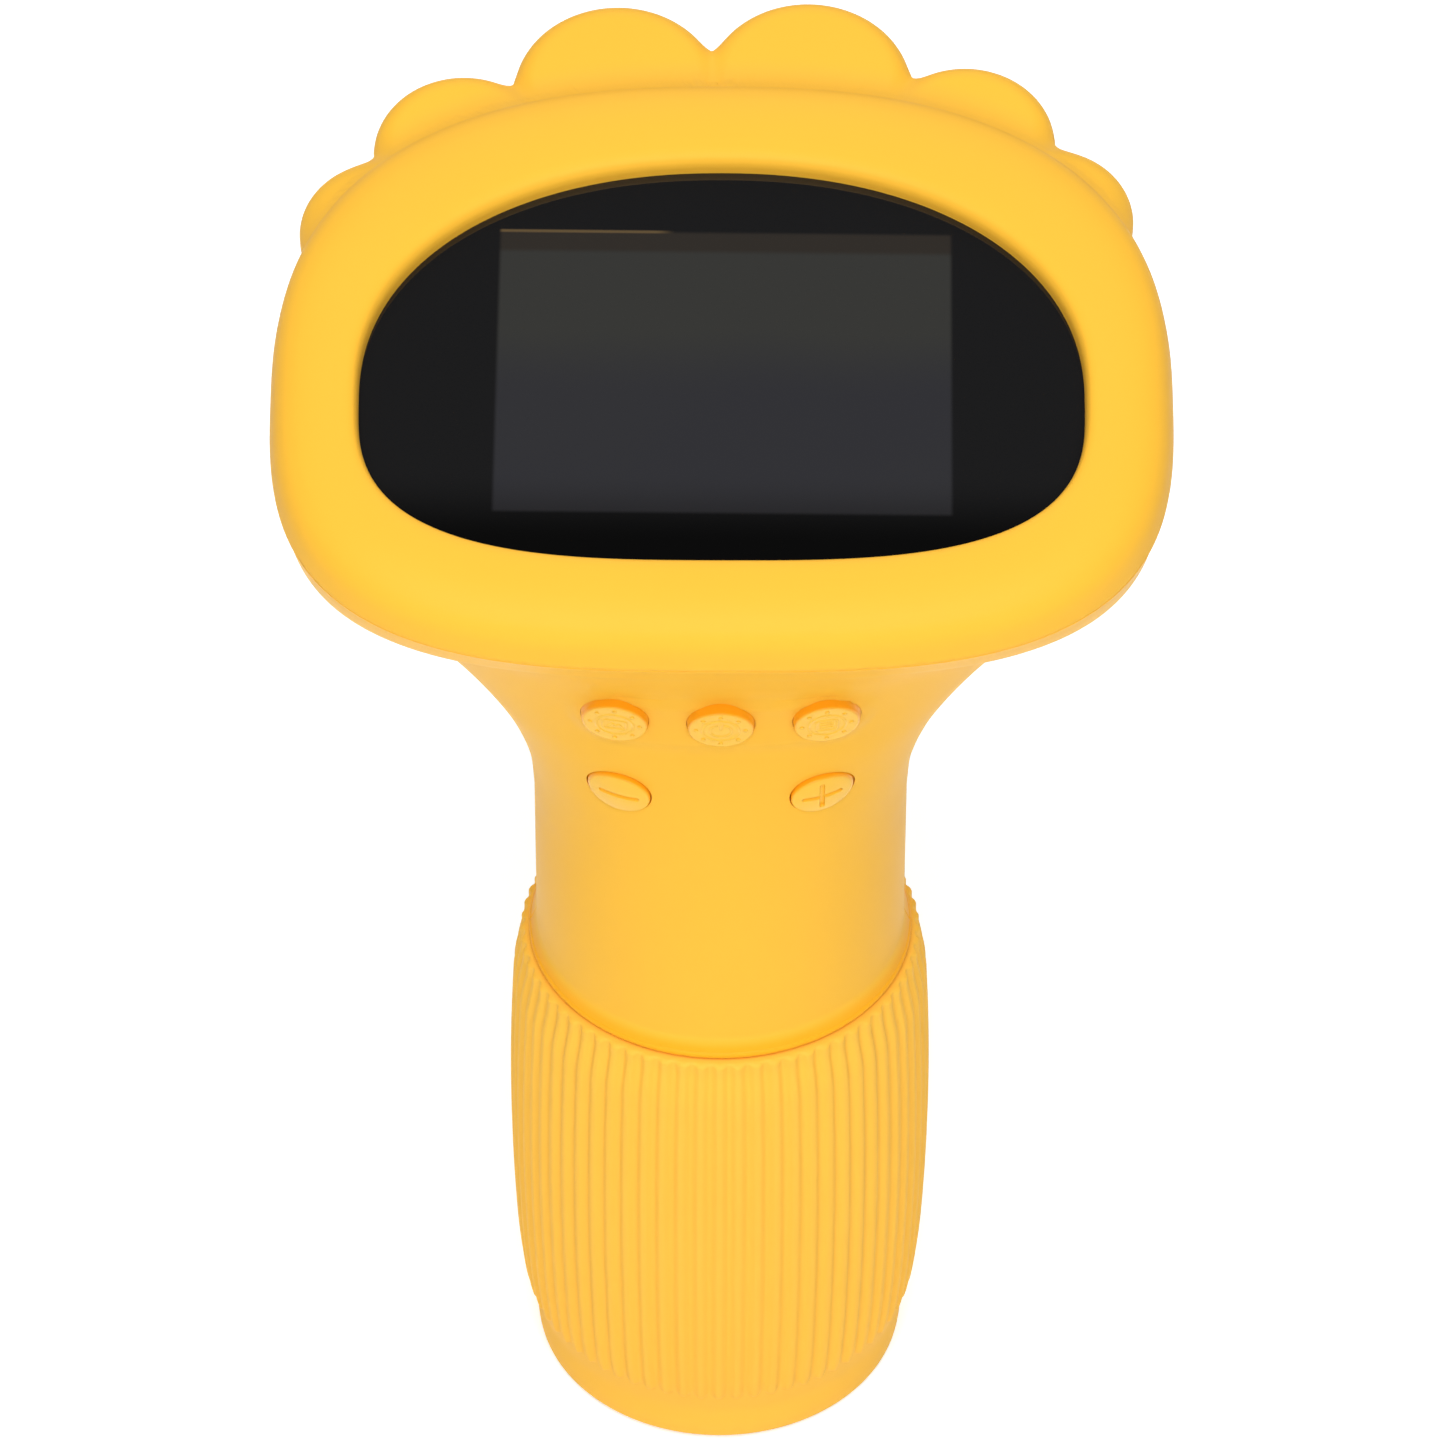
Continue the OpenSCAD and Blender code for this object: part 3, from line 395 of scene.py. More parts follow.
# The head's outline: two half ovals of different roundness that meet at the widest line
headHeight, windowHeight = 62.9, 43.1
head = {
    "halfWidth": 40.6, "up": headHeight * 0.531, "down": headHeight * 0.469,
    "roundUp": 2.5, "roundDown": 3.05, "middle": -1.5,
    "windowHalf": 32.5, "windowUp": windowHeight * 0.571, "windowDown": windowHeight * 0.429,
    "windowRoundUp": 2.15, "windowRoundDown": 3.1, "windowMiddle": -3.5,
    "glass": 1.2, "rise": 2.1, "rim": -2.0,
}
headTilt = Matrix.Rotation(math.radians(screen["tilt"]), 4, "X")
headTurn = Matrix.Translation((0, 0, screen["height"])) @ headTilt


def signedPower(v, e):
    return math.copysign(abs(v) ** e, v)


def ovalPoint(half, up, down, roundUp, roundDown, middle, t):
    c, s = math.cos(t), math.sin(t)
    n, b = (roundUp, up) if s >= 0 else (roundDown, down)
    return half * signedPower(c, 2 / n), middle + b * signedPower(s, 2 / n)


def headEdge(t):
    return ovalPoint(head["halfWidth"], head["up"], head["down"],
                     head["roundUp"], head["roundDown"], head["middle"], t)


def windowEdge(t):
    return ovalPoint(head["windowHalf"], head["windowUp"], head["windowDown"],
                     head["windowRoundUp"], head["windowRoundDown"], head["windowMiddle"], t)


def between(t, share):
    (wx, wy), (hx, hy) = windowEdge(t), headEdge(t)
    return wx + (hx - wx) * share, wy + (hy - wy) * share


def onHead(x, y, w):
    return headTurn @ Vector((x * mm, y * mm, w * mm))


# Bezel ring: one section carried round between the window's edge and the head's edge
bezel = {"around": 288, "smoothing": 5}


def makeBezel(spec):
    glass, rise, rim = head["glass"], head["rise"], head["rim"]
    crest = glass + rise
    # shares of the way from the window's edge to the head's edge, with heights in mm
    outside = [(0, glass + 0.02), (0.003, glass + 0.25 * rise), (0.008, glass + 0.45 * rise),
               (0.022, glass + 0.65 * rise), (0.054, glass + 0.84 * rise), (0.108, crest - 0.11),
               (0.18, crest - 0.02), (0.27, crest), (0.42, crest - 0.06), (0.58, crest - 0.28),
               (0.73, crest - 0.72), (0.86, crest - 1.5), (0.95, crest - 2.8), (1.0, rim + 0.25)]
    inside = [(0.994, rim + 0.08), (0.975, rim + 0.02), (0.79, rim + 0.02),
              (0.76, 0.2), (0.25, 0.2), (0.25, glass + 0.05)]
    section = catmull(outside, spec["smoothing"]) + inside
    size, around = len(section), spec["around"]
    points, faces = [], []
    for i in range(around):
        t = 2 * math.pi * i / around
        points += [onHead(*between(t, share), w) for share, w in section]
        here, after = i * size, (i + 1) % around * size
        faces += [(here + k, here + (k + 1) % size, after + (k + 1) % size, after + k) for k in range(size)]
    obj = meshObject("bezelRing", points, faces, 40)
    return finishPiece(obj, mattAbs, "housing", ["bezel"])


makeBezel(bezel)
print("bezel made")


# Mane: six round cushions melted into one another, with a soft crease where they meet the bezel
mane = {"radii": [9.56, 8.18, 7.57], "across": [8.81, 23.1, 30.49], "below": [-1.2, 5.2, 14.1], "turn": 1.5,
        "top": -0.5, "thickness": 5.0, "soft": 2.2, "melt": 0.8, "softMelt": 2.6,
        "creaseRise": 2.25, "creaseIn": 1.55, "creaseOut": 3.6, "bezelWidth": 10.8,
        "from": -6, "to": 186, "hidden": 0.9, "columns": 440, "rows": 28}


def maneDepth(x, y, melt):
    # how far a place lies inside the melted outline, negative outside
    turn = math.radians(mane["turn"])
    u = x * math.cos(turn) + (y - head["middle"]) * math.sin(turn)
    v = (y - head["middle"]) * math.cos(turn) - x * math.sin(turn) + head["middle"]
    depth = None
    places = list(zip(mane["radii"], mane["across"], mane["below"]))
    for side, order in ((-1, places[::-1]), (1, places)):
        for r, across, below in order:
            here = r - np.hypot(u - side * across, v - (head["up"] + head["middle"] - below))
            if depth is None:
                depth = here
                continue
            share = np.maximum(melt - abs(depth - here), 0) / melt
            depth = np.maximum(depth, here) + share ** 3 * melt / 6
    return depth


def maneRadius(angles, depth):
    # distance from the head's middle at which a ray lies this deep inside the outline
    low, high = np.full(len(angles), 25.0), np.full(len(angles), 60.0)
    for _ in range(40):
        middle = (low + high) / 2
        x, y = middle * np.cos(angles), head["middle"] + middle * np.sin(angles)
        inside = maneDepth(x, y, mane["melt"]) > depth
        low, high = np.where(inside, middle, low), np.where(inside, high, middle)
    return (low + high) / 2


def edgeDistance(x, y):
    # distance outside the head's outline, negative inside
    line = np.array([headEdge(2 * math.pi * i / 720) for i in range(720)])
    near = np.array([np.hypot(line[:, 0] - px, line[:, 1] - py).min() for px, py in zip(x, y)])
    b = np.where(y > head["middle"], head["up"], head["down"])
    n = np.where(y > head["middle"], head["roundUp"], head["roundDown"])
    outside = (abs(x) / head["halfWidth"]) ** n + (abs(y - head["middle"]) / b) ** n > 1
    return np.where(outside, near, -near)


def makeMane(spec):
    turns = np.linspace(-0.3, math.pi + 0.3, 2000)

    def reachOf(edge, angles):
        # distance of an outline from the head's middle along each ray
        offs = np.array([(x, y - head["middle"]) for x, y in map(edge, turns)])
        ray = np.arctan2(offs[:, 1], offs[:, 0])
        ray = np.where(ray < -1.5, ray + 2 * math.pi, ray)
        return np.interp(angles, ray, np.hypot(offs[:, 0], offs[:, 1]))

    angles = np.linspace(math.radians(spec["from"]), math.radians(spec["to"]), spec["columns"] * 3)
    seen = angles[maneRadius(angles, 0.0) > reachOf(headEdge, angles) - spec["hidden"]]
    angles = np.linspace(seen[0], seen[-1], spec["columns"])
    rim = reachOf(headEdge, angles)
    narrow = (rim - reachOf(windowEdge, angles)) / spec["bezelWidth"]
    inner = rim - spec["creaseIn"] * narrow - 0.1
    outline = np.maximum(maneRadius(angles, 0.0), inner)
    lines = [inner + (outline - inner) * math.sin(math.pi / 2 * j / spec["rows"])
             for j in range(spec["rows"] + 1)]
    top, under = [], []
    for r in lines:
        x, y = r * np.cos(angles), head["middle"] + r * np.sin(angles)
        lack = np.clip(spec["soft"] - maneDepth(x, y, spec["softMelt"]), 0, spec["soft"])
        fall = spec["soft"] - np.sqrt(spec["soft"] ** 2 - lack ** 2)
        wide = spec["creaseOut"] * (0.4 + 0.6 * np.sin(angles) ** 2)
        climb = np.clip((wide - edgeDistance(x, y) / narrow) / (wide + spec["creaseIn"]), 0, 1.02)
        high = spec["top"] - fall + spec["creaseRise"] * climb ** 2
        low = np.minimum(spec["top"] - spec["thickness"] + fall, high - 0.05)
        top += [onHead(*p) for p in zip(x, y, high)]
        under.insert(0, [onHead(*p) for p in zip(x, y, low)])
    points = top + [p for line in under for p in line]
    count, size = 2 * len(lines), len(angles)
    last = (count - 1) * size
    faces = rows(count, size, False) + [(last + i, last + i + 1, i + 1, i) for i in range(size - 1)]
    faces += [tuple(j * size + i for j in range(count)) for i in (0, size - 1)]
    obj = meshObject("maneCrest", points, faces, 50)
    return finishPiece(obj, mattAbs, "housing", ["mane_crest"])


makeMane(mane)
print("mane made")


# Window: a flat plate with a polished edge, tucked under the bezel
window = {"share": 0.235, "bevel": 0.15, "bevelShare": 0.02, "around": 288}


def makeWindow(spec):
    turns = [2 * math.pi * i / spec["around"] for i in range(spec["around"])]
    edge, bevelled = spec["share"], spec["share"] - spec["bevelShare"]
    levels = [(bevelled, 0.0), (edge, spec["bevel"]),
              (edge, head["glass"] - spec["bevel"]), (bevelled, head["glass"])]
    rings = [[onHead(*between(t, share), w) for t in turns] for share, w in levels]
    obj = stackObject("displayWindow", rings, 20)
    return finishPiece(obj, windowAcrylic, "housing", ["display_window"])


makeWindow(window)
print("window made")


# Housing halves: neck tube, collar and the flare up to the head's rim, all in one skin
shell = {
    "neck": 17.5, "wall": 2.0, "flareZ": 73.4, "neckRows": (58, 61, 64, 67, 70, 72),
    "collarZ": 53.8, "lip": 0.75, "lipRound": 0.4, "lipFoot": 0.3, "sweep": 1.9, "sweepRise": 2.5,
    "columns": 128, "rowSteps": 6, "seam": 0.10, "seamTurn": 0.006, "rimTrim": 0.12, "rimTuck": 0.05,
    "pad": {"half": 13.9, "z": 97.6, "tall": 3.9, "lift": 0.42, "edge": 0.8},
}
# shares of front rise and reach, rear rise and reach, side reach and roundness,
# with a fuller or leaner front in mm
flareRows = [
    (0, 0, 0, 0, 0, 0, 0), (0.1, 0, 0.13, 0.01, 0.02, 0, 0), (0.2, 0, 0.23, 0.05, 0.075, 0, 0),
    (0.295, 0, 0.33, 0.13, 0.165, 0, 0), (0.39, 0.01, 0.425, 0.26, 0.285, 0.05, 0),
    (0.49, 0.03, 0.52, 0.42, 0.44, 0.1, 0), (0.605, 0.095, 0.61, 0.6, 0.615, 0.2, 0),
    (0.725, 0.22, 0.695, 0.78, 0.78, 0.35, 0.2), (0.83, 0.44, 0.775, 0.93, 0.905, 0.52, 0.7),
    (0.895, 0.725, 0.85, 1.03, 0.96, 1, -0.35), (0.947, 0.945, 0.925, 1.05, 0.97, 1, -1.1),
    (1, 1, 1, 1, 1, 1, 0)]
flareLast = len(flareRows) - 1


def headYz(y, w):
    p = onHead(0, y, w)
    return p.y / mm, p.z / mm


frontRim = headYz(head["middle"] - head["down"], head["rim"])
rearRim = headYz(head["middle"] + head["up"], head["rim"])


def flareRow(s):
    k = min(int(s), flareLast - 1)
    near = [flareRows[max(k - 1, 0)], flareRows[k], flareRows[k + 1], flareRows[min(k + 2, flareLast)]]
    return catmullPoint(*near, s - k)


def flarePoint(s, inset, t):
    row, neck, low = flareRow(s), shell["neck"], shell["flareZ"]
    front = Vector((-neck - row[1] * (-frontRim[0] - neck), low + row[0] * (frontRim[1] - low)))
    rear = Vector((neck + row[3] * (rearRim[0] - neck), low + row[2] * (rearRim[1] - low)))
    seam = front + (rear - front) * (0.5 + row[5] * (head["down"] / (head["up"] + head["down"]) - 0.5))
    c, si = math.cos(t), math.sin(t)
    reach = ((rear if si >= 0 else front) - seam).length
    across = (rear - front).normalized()
    n = 2 + row[5] * ((head["roundUp"] if si >= 0 else head["roundDown"]) - 2)
    side = neck + row[4] * (head["halfWidth"] - neck) - inset
    along = (reach + (row[6] * si * si if si < 0 else 0) - inset) * signedPower(si, 2 / n)
    return Vector((side * signedPower(c, 2 / n), seam.x + along * across.x, seam.y + along * across.y))


def padLift(p):
    # soft oval swelling round the three upper keys
    pad = shell["pad"]
    if p.y > 0:
        return 0.0
    reach = math.hypot(max(abs(p.x) - (pad["half"] - pad["tall"]), 0), p.z - pad["z"])
    u = min(max((pad["tall"] - reach) / pad["edge"], 0), 1)
    return pad["lift"] * u * u * (3 - 2 * u)


def halfShell(name, start):
    neck, wall, low = shell["neck"], shell["wall"], shell["collarZ"]
    lip, bend = shell["lipRound"], shell["sweep"]
    lipX, lipZ = neck + shell["lip"] - lip, low + lip
    collar = [(neck + shell["lipFoot"], low)]
    for a in [math.radians(-75 + 15 * i) for i in range(10)]:       # the lip's round edge
        collar.append((lipX + lip * math.cos(a), lipZ + lip * math.sin(a)))
    for a in [math.radians(26 - 4 * i) for i in range(7)]:          # a hollow sweep up to the neck
        collar.append((neck + bend - bend * math.cos(a), low + shell["sweepRise"] - bend * math.sin(a)))
    collar += [(neck, z) for z in shell["neckRows"]]
    turns = [start + math.pi * i / shell["columns"] for i in range(shell["columns"] + 1)]
    turns[1:1] = [start + shell["seamTurn"]]
    turns[-1:-1] = [start + math.pi - shell["seamTurn"]]
    outer, inner = [], []
    for r, z in collar:
        outer.append([Vector((r * math.cos(t), r * math.sin(t), z)) for t in turns])
        inner.append([Vector(((neck - wall) * math.cos(t), (neck - wall) * math.sin(t), z)) for t in turns])
    sections = [i / shell["rowSteps"] for i in range(flareLast * shell["rowSteps"] + 1)]
    sections[-1:-1] = [flareLast - shell["rimTuck"]]
    for s in sections:
        trim = shell["rimTrim"] if s == flareLast else 0.0
        ring = [flarePoint(s, trim, t) for t in turns]
        for p in ring:
            p.y -= padLift(p)
        outer.append(ring)
        inner.append([flarePoint(s, wall, t) for t in turns])
    for ring in outer:
        for end in (0, -1):         # a fine groove along the seam
            ring[end] += (Vector((0, 0, ring[end].z)) - ring[end]).normalized() * shell["seam"]
    size, count = len(turns), len(outer)
    points = [p * mm for ring in outer + inner for p in ring]
    gap = size * count
    faces = rows(count, size, False)
    faces += [tuple(gap + i for i in reversed(f)) for f in rows(count, size, False)]
    for row in (0, gap - size):
        faces += [(row + i, row + i + 1, gap + row + i + 1, gap + row + i) for i in range(size - 1)]
    for side in (0, size - 1):
        steps = [j * size + side for j in range(count)]
        faces += [(a, b, gap + b, gap + a) for a, b in zip(steps, steps[1:])]
    return meshObject(name, points, faces, 30)


def shellFill(start):
    # the closed body a little under the outer skin, which trims the screw bosses to the wall
    turns = [start + math.pi * i / 64 for i in range(65)]
    inset = shell["wall"] / 2
    rings = [[flarePoint(s / 3, inset, t) * mm for t in turns] for s in range(3 * flareLast + 1)]
    return stackObject("fill", rings)


# Sizes of the keys, which their holes in the front half share
keySpec = {
    "radius": 3.0, "hole": 3.13, "edge": 0.26, "skirt": 0.09, "skirtDrop": 0.6, "skirtStep": 0.1,
    "dome": 0.45, "flange": 3.85, "flangeThick": 0.9, "flangeDepth": 5.2,
    "stem": 1.4, "stemY": 9.3, "holeFrom": -9, "holeTo": -32, "domedBelow": 90, "around": 176, "rings": 46,
    # name, across, height, distance of the face in front of the axis,
    # swell radius and tilt of the face, share of the width and of the height
    "places": [
        ("photo", -9.6, 98.0, 19.15, 56.0, 18.0, 1, 1), ("power", 0.0, 98.0, 19.95, 56.0, 18.0, 1, 1),
        ("menu", 9.6, 98.0, 19.15, 56.0, 18.0, 1, 1),
        ("minus", -9.3, 86.5, 16.3, 24.4, 9.5, 0.96, 0.8), ("plus", 9.3, 86.5, 16.3, 24.4, 9.5, 0.96, 0.8)],
}
# Posts, pockets and bores for the screws of the bezel, the boards and the neck
screwSpec = {
    "pocket": 2.0, "hole": 1.1, "thread": 0.85, "threadDeep": 5, "clear": 1, "sides": 48,
    "boss": 3.2, "bossFoot": -34, "bezelSeat": -9.4, "bezelTop": -7.0, "holeFrom": -12, "pocketFoot": -40,
    "bezelFront": [(36.4, -8.0), (-36.4, -8.0)], "bezelRear": [(30.5, 16.5), (-30.5, 16.5)],
    "boardBoss": 2.2, "boardTop": -9.2,
    "boardFront": [(24, -16), (-24, -16)], "boardRear": [(24, 14), (-24, 14)],
    "keyBoss": 1.9, "keyFoot": -40, "keyTop": -6.5, "keys": [(-9, 79.8), (9, 79.8), (0, 105.2)],
    "neckX": 11.2, "neckZ": 67.0, "neckBoss": 3.0, "neckCore": 16.5, "neckLow": 60, "neckHigh": 76,
    "neckReach": 20, "neckGap": 0.1, "neckSeat": 6.5, "neckThread": -7, "neckHole": 9, "neckOut": 30,
}


def addPosts(obj, posts, fill):
    # posts that end inside the wall, trimmed by a body a little under the outer skin
    sides = screwSpec["sides"]
    joined = rodObject("posts", *posts[0], sides)
    cutWith(joined, [rodObject("post", *post, sides) for post in posts[1:]], "UNION")
    cutWith(joined, [fill], "INTERSECT")
    cutWith(obj, [joined], "UNION")


def alongY(x, z, start, end, radius):
    return Vector((x, start, z)) * mm, Vector((x, end, z)) * mm, radius * mm


def onHeadRod(place, start, end, radius):
    return onHead(*place, start), onHead(*place, end), radius * mm


def bossesAndPockets(obj, start, side):
    spec, front = screwSpec, side == "Front"
    bezels, boards, neckX = spec["bezel" + side], spec["board" + side], (-spec["neckX"], spec["neckX"])
    deep, clear = spec["threadDeep"], spec["clear"]
    posts = [onHeadRod(p, spec["bossFoot"], spec["bezelTop"], spec["boss"]) for p in bezels]
    posts += [onHeadRod(p, spec["bossFoot"], spec["boardTop"], spec["boardBoss"]) for p in boards]
    if front:
        posts += [alongY(x, z, spec["keyFoot"], spec["keyTop"], spec["keyBoss"]) for x, z in spec["keys"]]
    addPosts(obj, posts, shellFill(start))
    neckEnds = [(0, 0, z * mm) for z in (spec["neckLow"], spec["neckHigh"])]
    core = rodObject("core", *neckEnds, spec["neckCore"] * mm, 128)
    ends = (-spec["neckReach"], -spec["neckGap"]) if front else (spec["neckGap"], spec["neckReach"])
    addPosts(obj, [alongY(x, spec["neckZ"], *ends, spec["neckBoss"]) for x in neckX], core)
    bores = []
    for p in bezels:
        bores.append(onHeadRod(p, spec["pocketFoot"], spec["bezelSeat"], spec["pocket"]))
        bores.append(onHeadRod(p, spec["holeFrom"], 0, spec["hole"]))
    bores += [onHeadRod(p, spec["boardTop"] - deep, spec["boardTop"] + clear, spec["thread"]) for p in boards]
    if front:
        bores += [alongY(x, z, spec["keyTop"] - deep, spec["keyTop"] + clear, spec["thread"])
                  for x, z in spec["keys"]]
    for x in neckX:
        if front:
            bores.append(alongY(x, spec["neckZ"], spec["neckThread"], clear, spec["thread"]))
        else:
            bores.append(alongY(x, spec["neckZ"], spec["neckSeat"], spec["neckOut"], spec["pocket"]))
            bores.append(alongY(x, spec["neckZ"], -clear, spec["neckHole"], spec["hole"]))
    cutWith(obj, [rodObject("bore", *bore, spec["sides"]) for bore in bores])


def makeFrontShell():
    obj = halfShell("frontHousing", math.pi)
    bossesAndPockets(obj, math.pi, "Front")
    holes = []
    for _, x, z, _, _, _, wide, tall in keySpec["places"]:
        ends = [(x * mm, y * mm, z * mm) for y in (keySpec["holeFrom"], keySpec["holeTo"])]
        hole = rodObject("keyHole", *ends, keySpec["hole"] * mm, 96)
        for vertex in hole.data.vertices:
            vertex.co.x = x * mm + (vertex.co.x - x * mm) * wide
            vertex.co.z = z * mm + (vertex.co.z - z * mm) * tall
        holes.append(hole)
    cutWith(obj, holes)
    smoothMesh(obj.data, 30)
    return finishPiece(obj, satinAbs, "housing", ["front_housing"])


# Openings at the back, and the shelf that carries the battery
ports = {"usbHalf": 2.9, "usbRound": 1.9, "usbW": -10.8, "usbFrom": 22.2, "cardX": 13.0, "cardWide": 12.0,
         "cardLow": -11.1, "cardHigh": -9.5, "cardFrom": 14.7, "through": 40}
shelf = {"radius": 16.5, "z": 70.8, "thick": 2.0, "notch": 6.0, "notchDeep": 2, "gap": 0.05}


def makeRearShell():
    obj = halfShell("rearHousing", 0.0)
    # the battery's shelf, notched where the leads pass
    reach, notch, gap = shelf["radius"], shelf["notch"], shelf["gap"]
    edge = [(reach * math.cos(math.pi * i / 64), gap + reach * math.sin(math.pi * i / 64)) for i in range(65)]
    edge += [(-notch, gap), (-notch, shelf["notchDeep"]), (notch, shelf["notchDeep"]), (notch, gap)]
    levels = (shelf["z"], shelf["z"] + shelf["thick"])
    plate = stackObject("shelf", [[Vector((x, y, z)) * mm for x, y in edge] for z in levels])
    cutWith(obj, [plate], "UNION")
    bossesAndPockets(obj, 0.0, "Rear")
    half, r, n = ports["usbHalf"], ports["usbRound"], 24
    bends = [math.pi * (i / n - 0.5) for i in range(n + 1)]
    oval = [(half + r * math.cos(a), r * math.sin(a)) for a in bends]
    oval = [(x, ports["usbW"] + w) for x, w in oval + [(-x, -w) for x, w in oval]]
    left, right = [ports["cardX"] + side * ports["cardWide"] / 2 for side in (-1, 1)]
    low, high = ports["cardLow"], ports["cardHigh"]
    box = [(left, low), (right, low), (right, high), (left, high)]
    tools = []
    for name, start, outline in (("usbPort", ports["usbFrom"], oval), ("cardPort", ports["cardFrom"], box)):
        rings = [[onHead(x, y, w) for x, w in outline] for y in (start, ports["through"])]
        tools.append(stackObject(name, rings))
    cutWith(obj, tools)
    smoothMesh(obj.data, 30)
    return finishPiece(obj, satinAbs, "housing", ["rear_housing"])


makeFrontShell()
makeRearShell()
print("housing halves made")


# Keys: a round cap whose face follows the neck's swell, with marks moulded into the face
def segment(u, v, a, b):
    dx, dy = b[0] - a[0], b[1] - a[1]
    h = min(max(((u - a[0]) * dx + (v - a[1]) * dy) / (dx * dx + dy * dy), 0), 1)
    return math.hypot(u - a[0] - h * dx, v - a[1] - h * dy)


def roundBox(u, v, half, tall, r):
    qx, qy = abs(u) - half + r, abs(v) - tall + r
    return abs(math.hypot(max(qx, 0), max(qy, 0)) + min(max(qx, qy), 0) - r)


def lineMark(distance, width, depth, soft=0.07):
    k = min(max((width / 2 + soft / 2 - distance) / soft, 0), 1)
    return depth * k * k * (3 - 2 * k)


signs = {
    # minus and plus are sunk, and the others are fine raised lines
    "reach": 1.6, "plusLow": -1.45, "plusHigh": 1.4, "stroke": 0.42, "strokeHeight": -0.34,
    "powerRing": 0.98, "powerGap": 0.3, "powerHigh": 1.05,
    "photoFrame": (1.05, 0.72, 0.35),
    "photoHill": [(-0.7, -0.4), (-0.25, 0.2), (0.12, -0.12), (0.35, 0.08), (0.7, -0.4)],
    "menuFrame": (0.95, 0.85, 0.35), "menuHalf": 0.5, "menuRows": (-0.35, 0, 0.35),
    "ring": 1.68, "line": 0.2, "lineHeight": 0.09, "lineSoft": 0.12,
}


def keyMark(name, u, v):
    reach, rim = signs["reach"], math.hypot(u, v)
    if name in ("minus", "plus"):
        d = segment(u, v, (-reach, 0), (reach, 0))
        if name == "plus":
            d = min(d, segment(u, v, (0, signs["plusLow"]), (0, signs["plusHigh"])))
        return lineMark(d, signs["stroke"], signs["strokeHeight"])
    if name == "power":
        gap = signs["powerGap"]
        ring = 1 if v > 0 and abs(u) < gap else abs(rim - signs["powerRing"])
        d = min(ring, segment(u, v, (0, gap), (0, signs["powerHigh"])))
    elif name == "photo":
        hill = signs["photoHill"]
        d = min(roundBox(u, v, *signs["photoFrame"]), *[segment(u, v, a, b) for a, b in zip(hill, hill[1:])])
    else:
        half = signs["menuHalf"]
        d = min(roundBox(u, v, *signs["menuFrame"]),
                *[segment(u, v, (-half, row), (half, row)) for row in signs["menuRows"]])
    return lineMark(min(d, abs(rim - signs["ring"])), signs["line"], signs["lineHeight"], signs["lineSoft"])


def facePoint(place, u, v):
    _, x0, z0, out, swell, tilt, _, _ = place
    t = math.radians(tilt)
    drop = swell - math.sqrt(swell * swell - x0 * x0)
    x = x0 + u
    y = -out + ((swell - drop) - math.sqrt(swell * swell - x * x) - v * math.sin(t)) / math.cos(t)
    if z0 < keySpec["domedBelow"]:          # the two lower caps are domed as well
        y += keySpec["dome"] * ((u * u + v * v) / keySpec["radius"] ** 2 - 0.5)
    return Vector((x, y, z0 + v))


# eight raised dots in a circle, instanced by nodes and realised
dotRing = {"count": 8, "radius": 2.25, "size": 0.22, "height": 0.13, "sunk": 0.12}


def dotTree():
    tree, sockets, given = startTree("dotRing", (
        ("Count", "Int"), ("Radius", "Float"), ("Material", "Material")))
    circle = addNode(tree, "GeometryNodeMeshCircle", inputs={
        "Vertices": given.outputs["Count"], "Radius": given.outputs["Radius"]})
    dots = addNode(tree, "GeometryNodeInstanceOnPoints", inputs={
        "Points": circle.outputs[0], "Instance": given.outputs["Geometry"]})
    endTree(tree, dots.outputs[0], given.outputs["Material"])
    return tree, sockets


dotNodes, dotSockets = dotTree()


def makeDots(place):
    name = place[0]
    r, h, sides = dotRing["size"] * mm, dotRing["height"] * mm, 12
    line = [(1.0, -dotRing["sunk"] * mm), (1.0, 0.1 * h), (0.86, 0.6 * h), (0.5, 0.92 * h)]
    points = [(k * r * math.cos(2 * math.pi * i / sides), k * r * math.sin(2 * math.pi * i / sides), z)
              for k, z in line for i in range(sides)] + [(0, 0, h)]
    top = len(points) - 1
    faces = rows(len(line), sides) + [tuple(range(sides))]
    faces += [(top, top - sides + i, top - sides + (i + 1) % sides) for i in range(sides)]
    obj = meshObject(name + "Dots", points, faces, 60)
    runTree(obj, dotNodes, dotSockets, {
        "Count": dotRing["count"], "Radius": dotRing["radius"] * mm, "Material": keyAbs})
    for vertex in obj.data.vertices:            # lay each dot on the curved face
        u, v, w = vertex.co / mm
        p = facePoint(place, u, v)
        vertex.co = Vector((p.x, p.y - w, p.z)) * mm
    work = bmesh.new()
    work.from_mesh(obj.data)
    bmesh.ops.recalc_face_normals(work, faces=work.faces)
    work.to_mesh(obj.data)
    work.free()
    smoothMesh(obj.data, 60)
    finishPiece(obj, keyAbs, name + "_button")


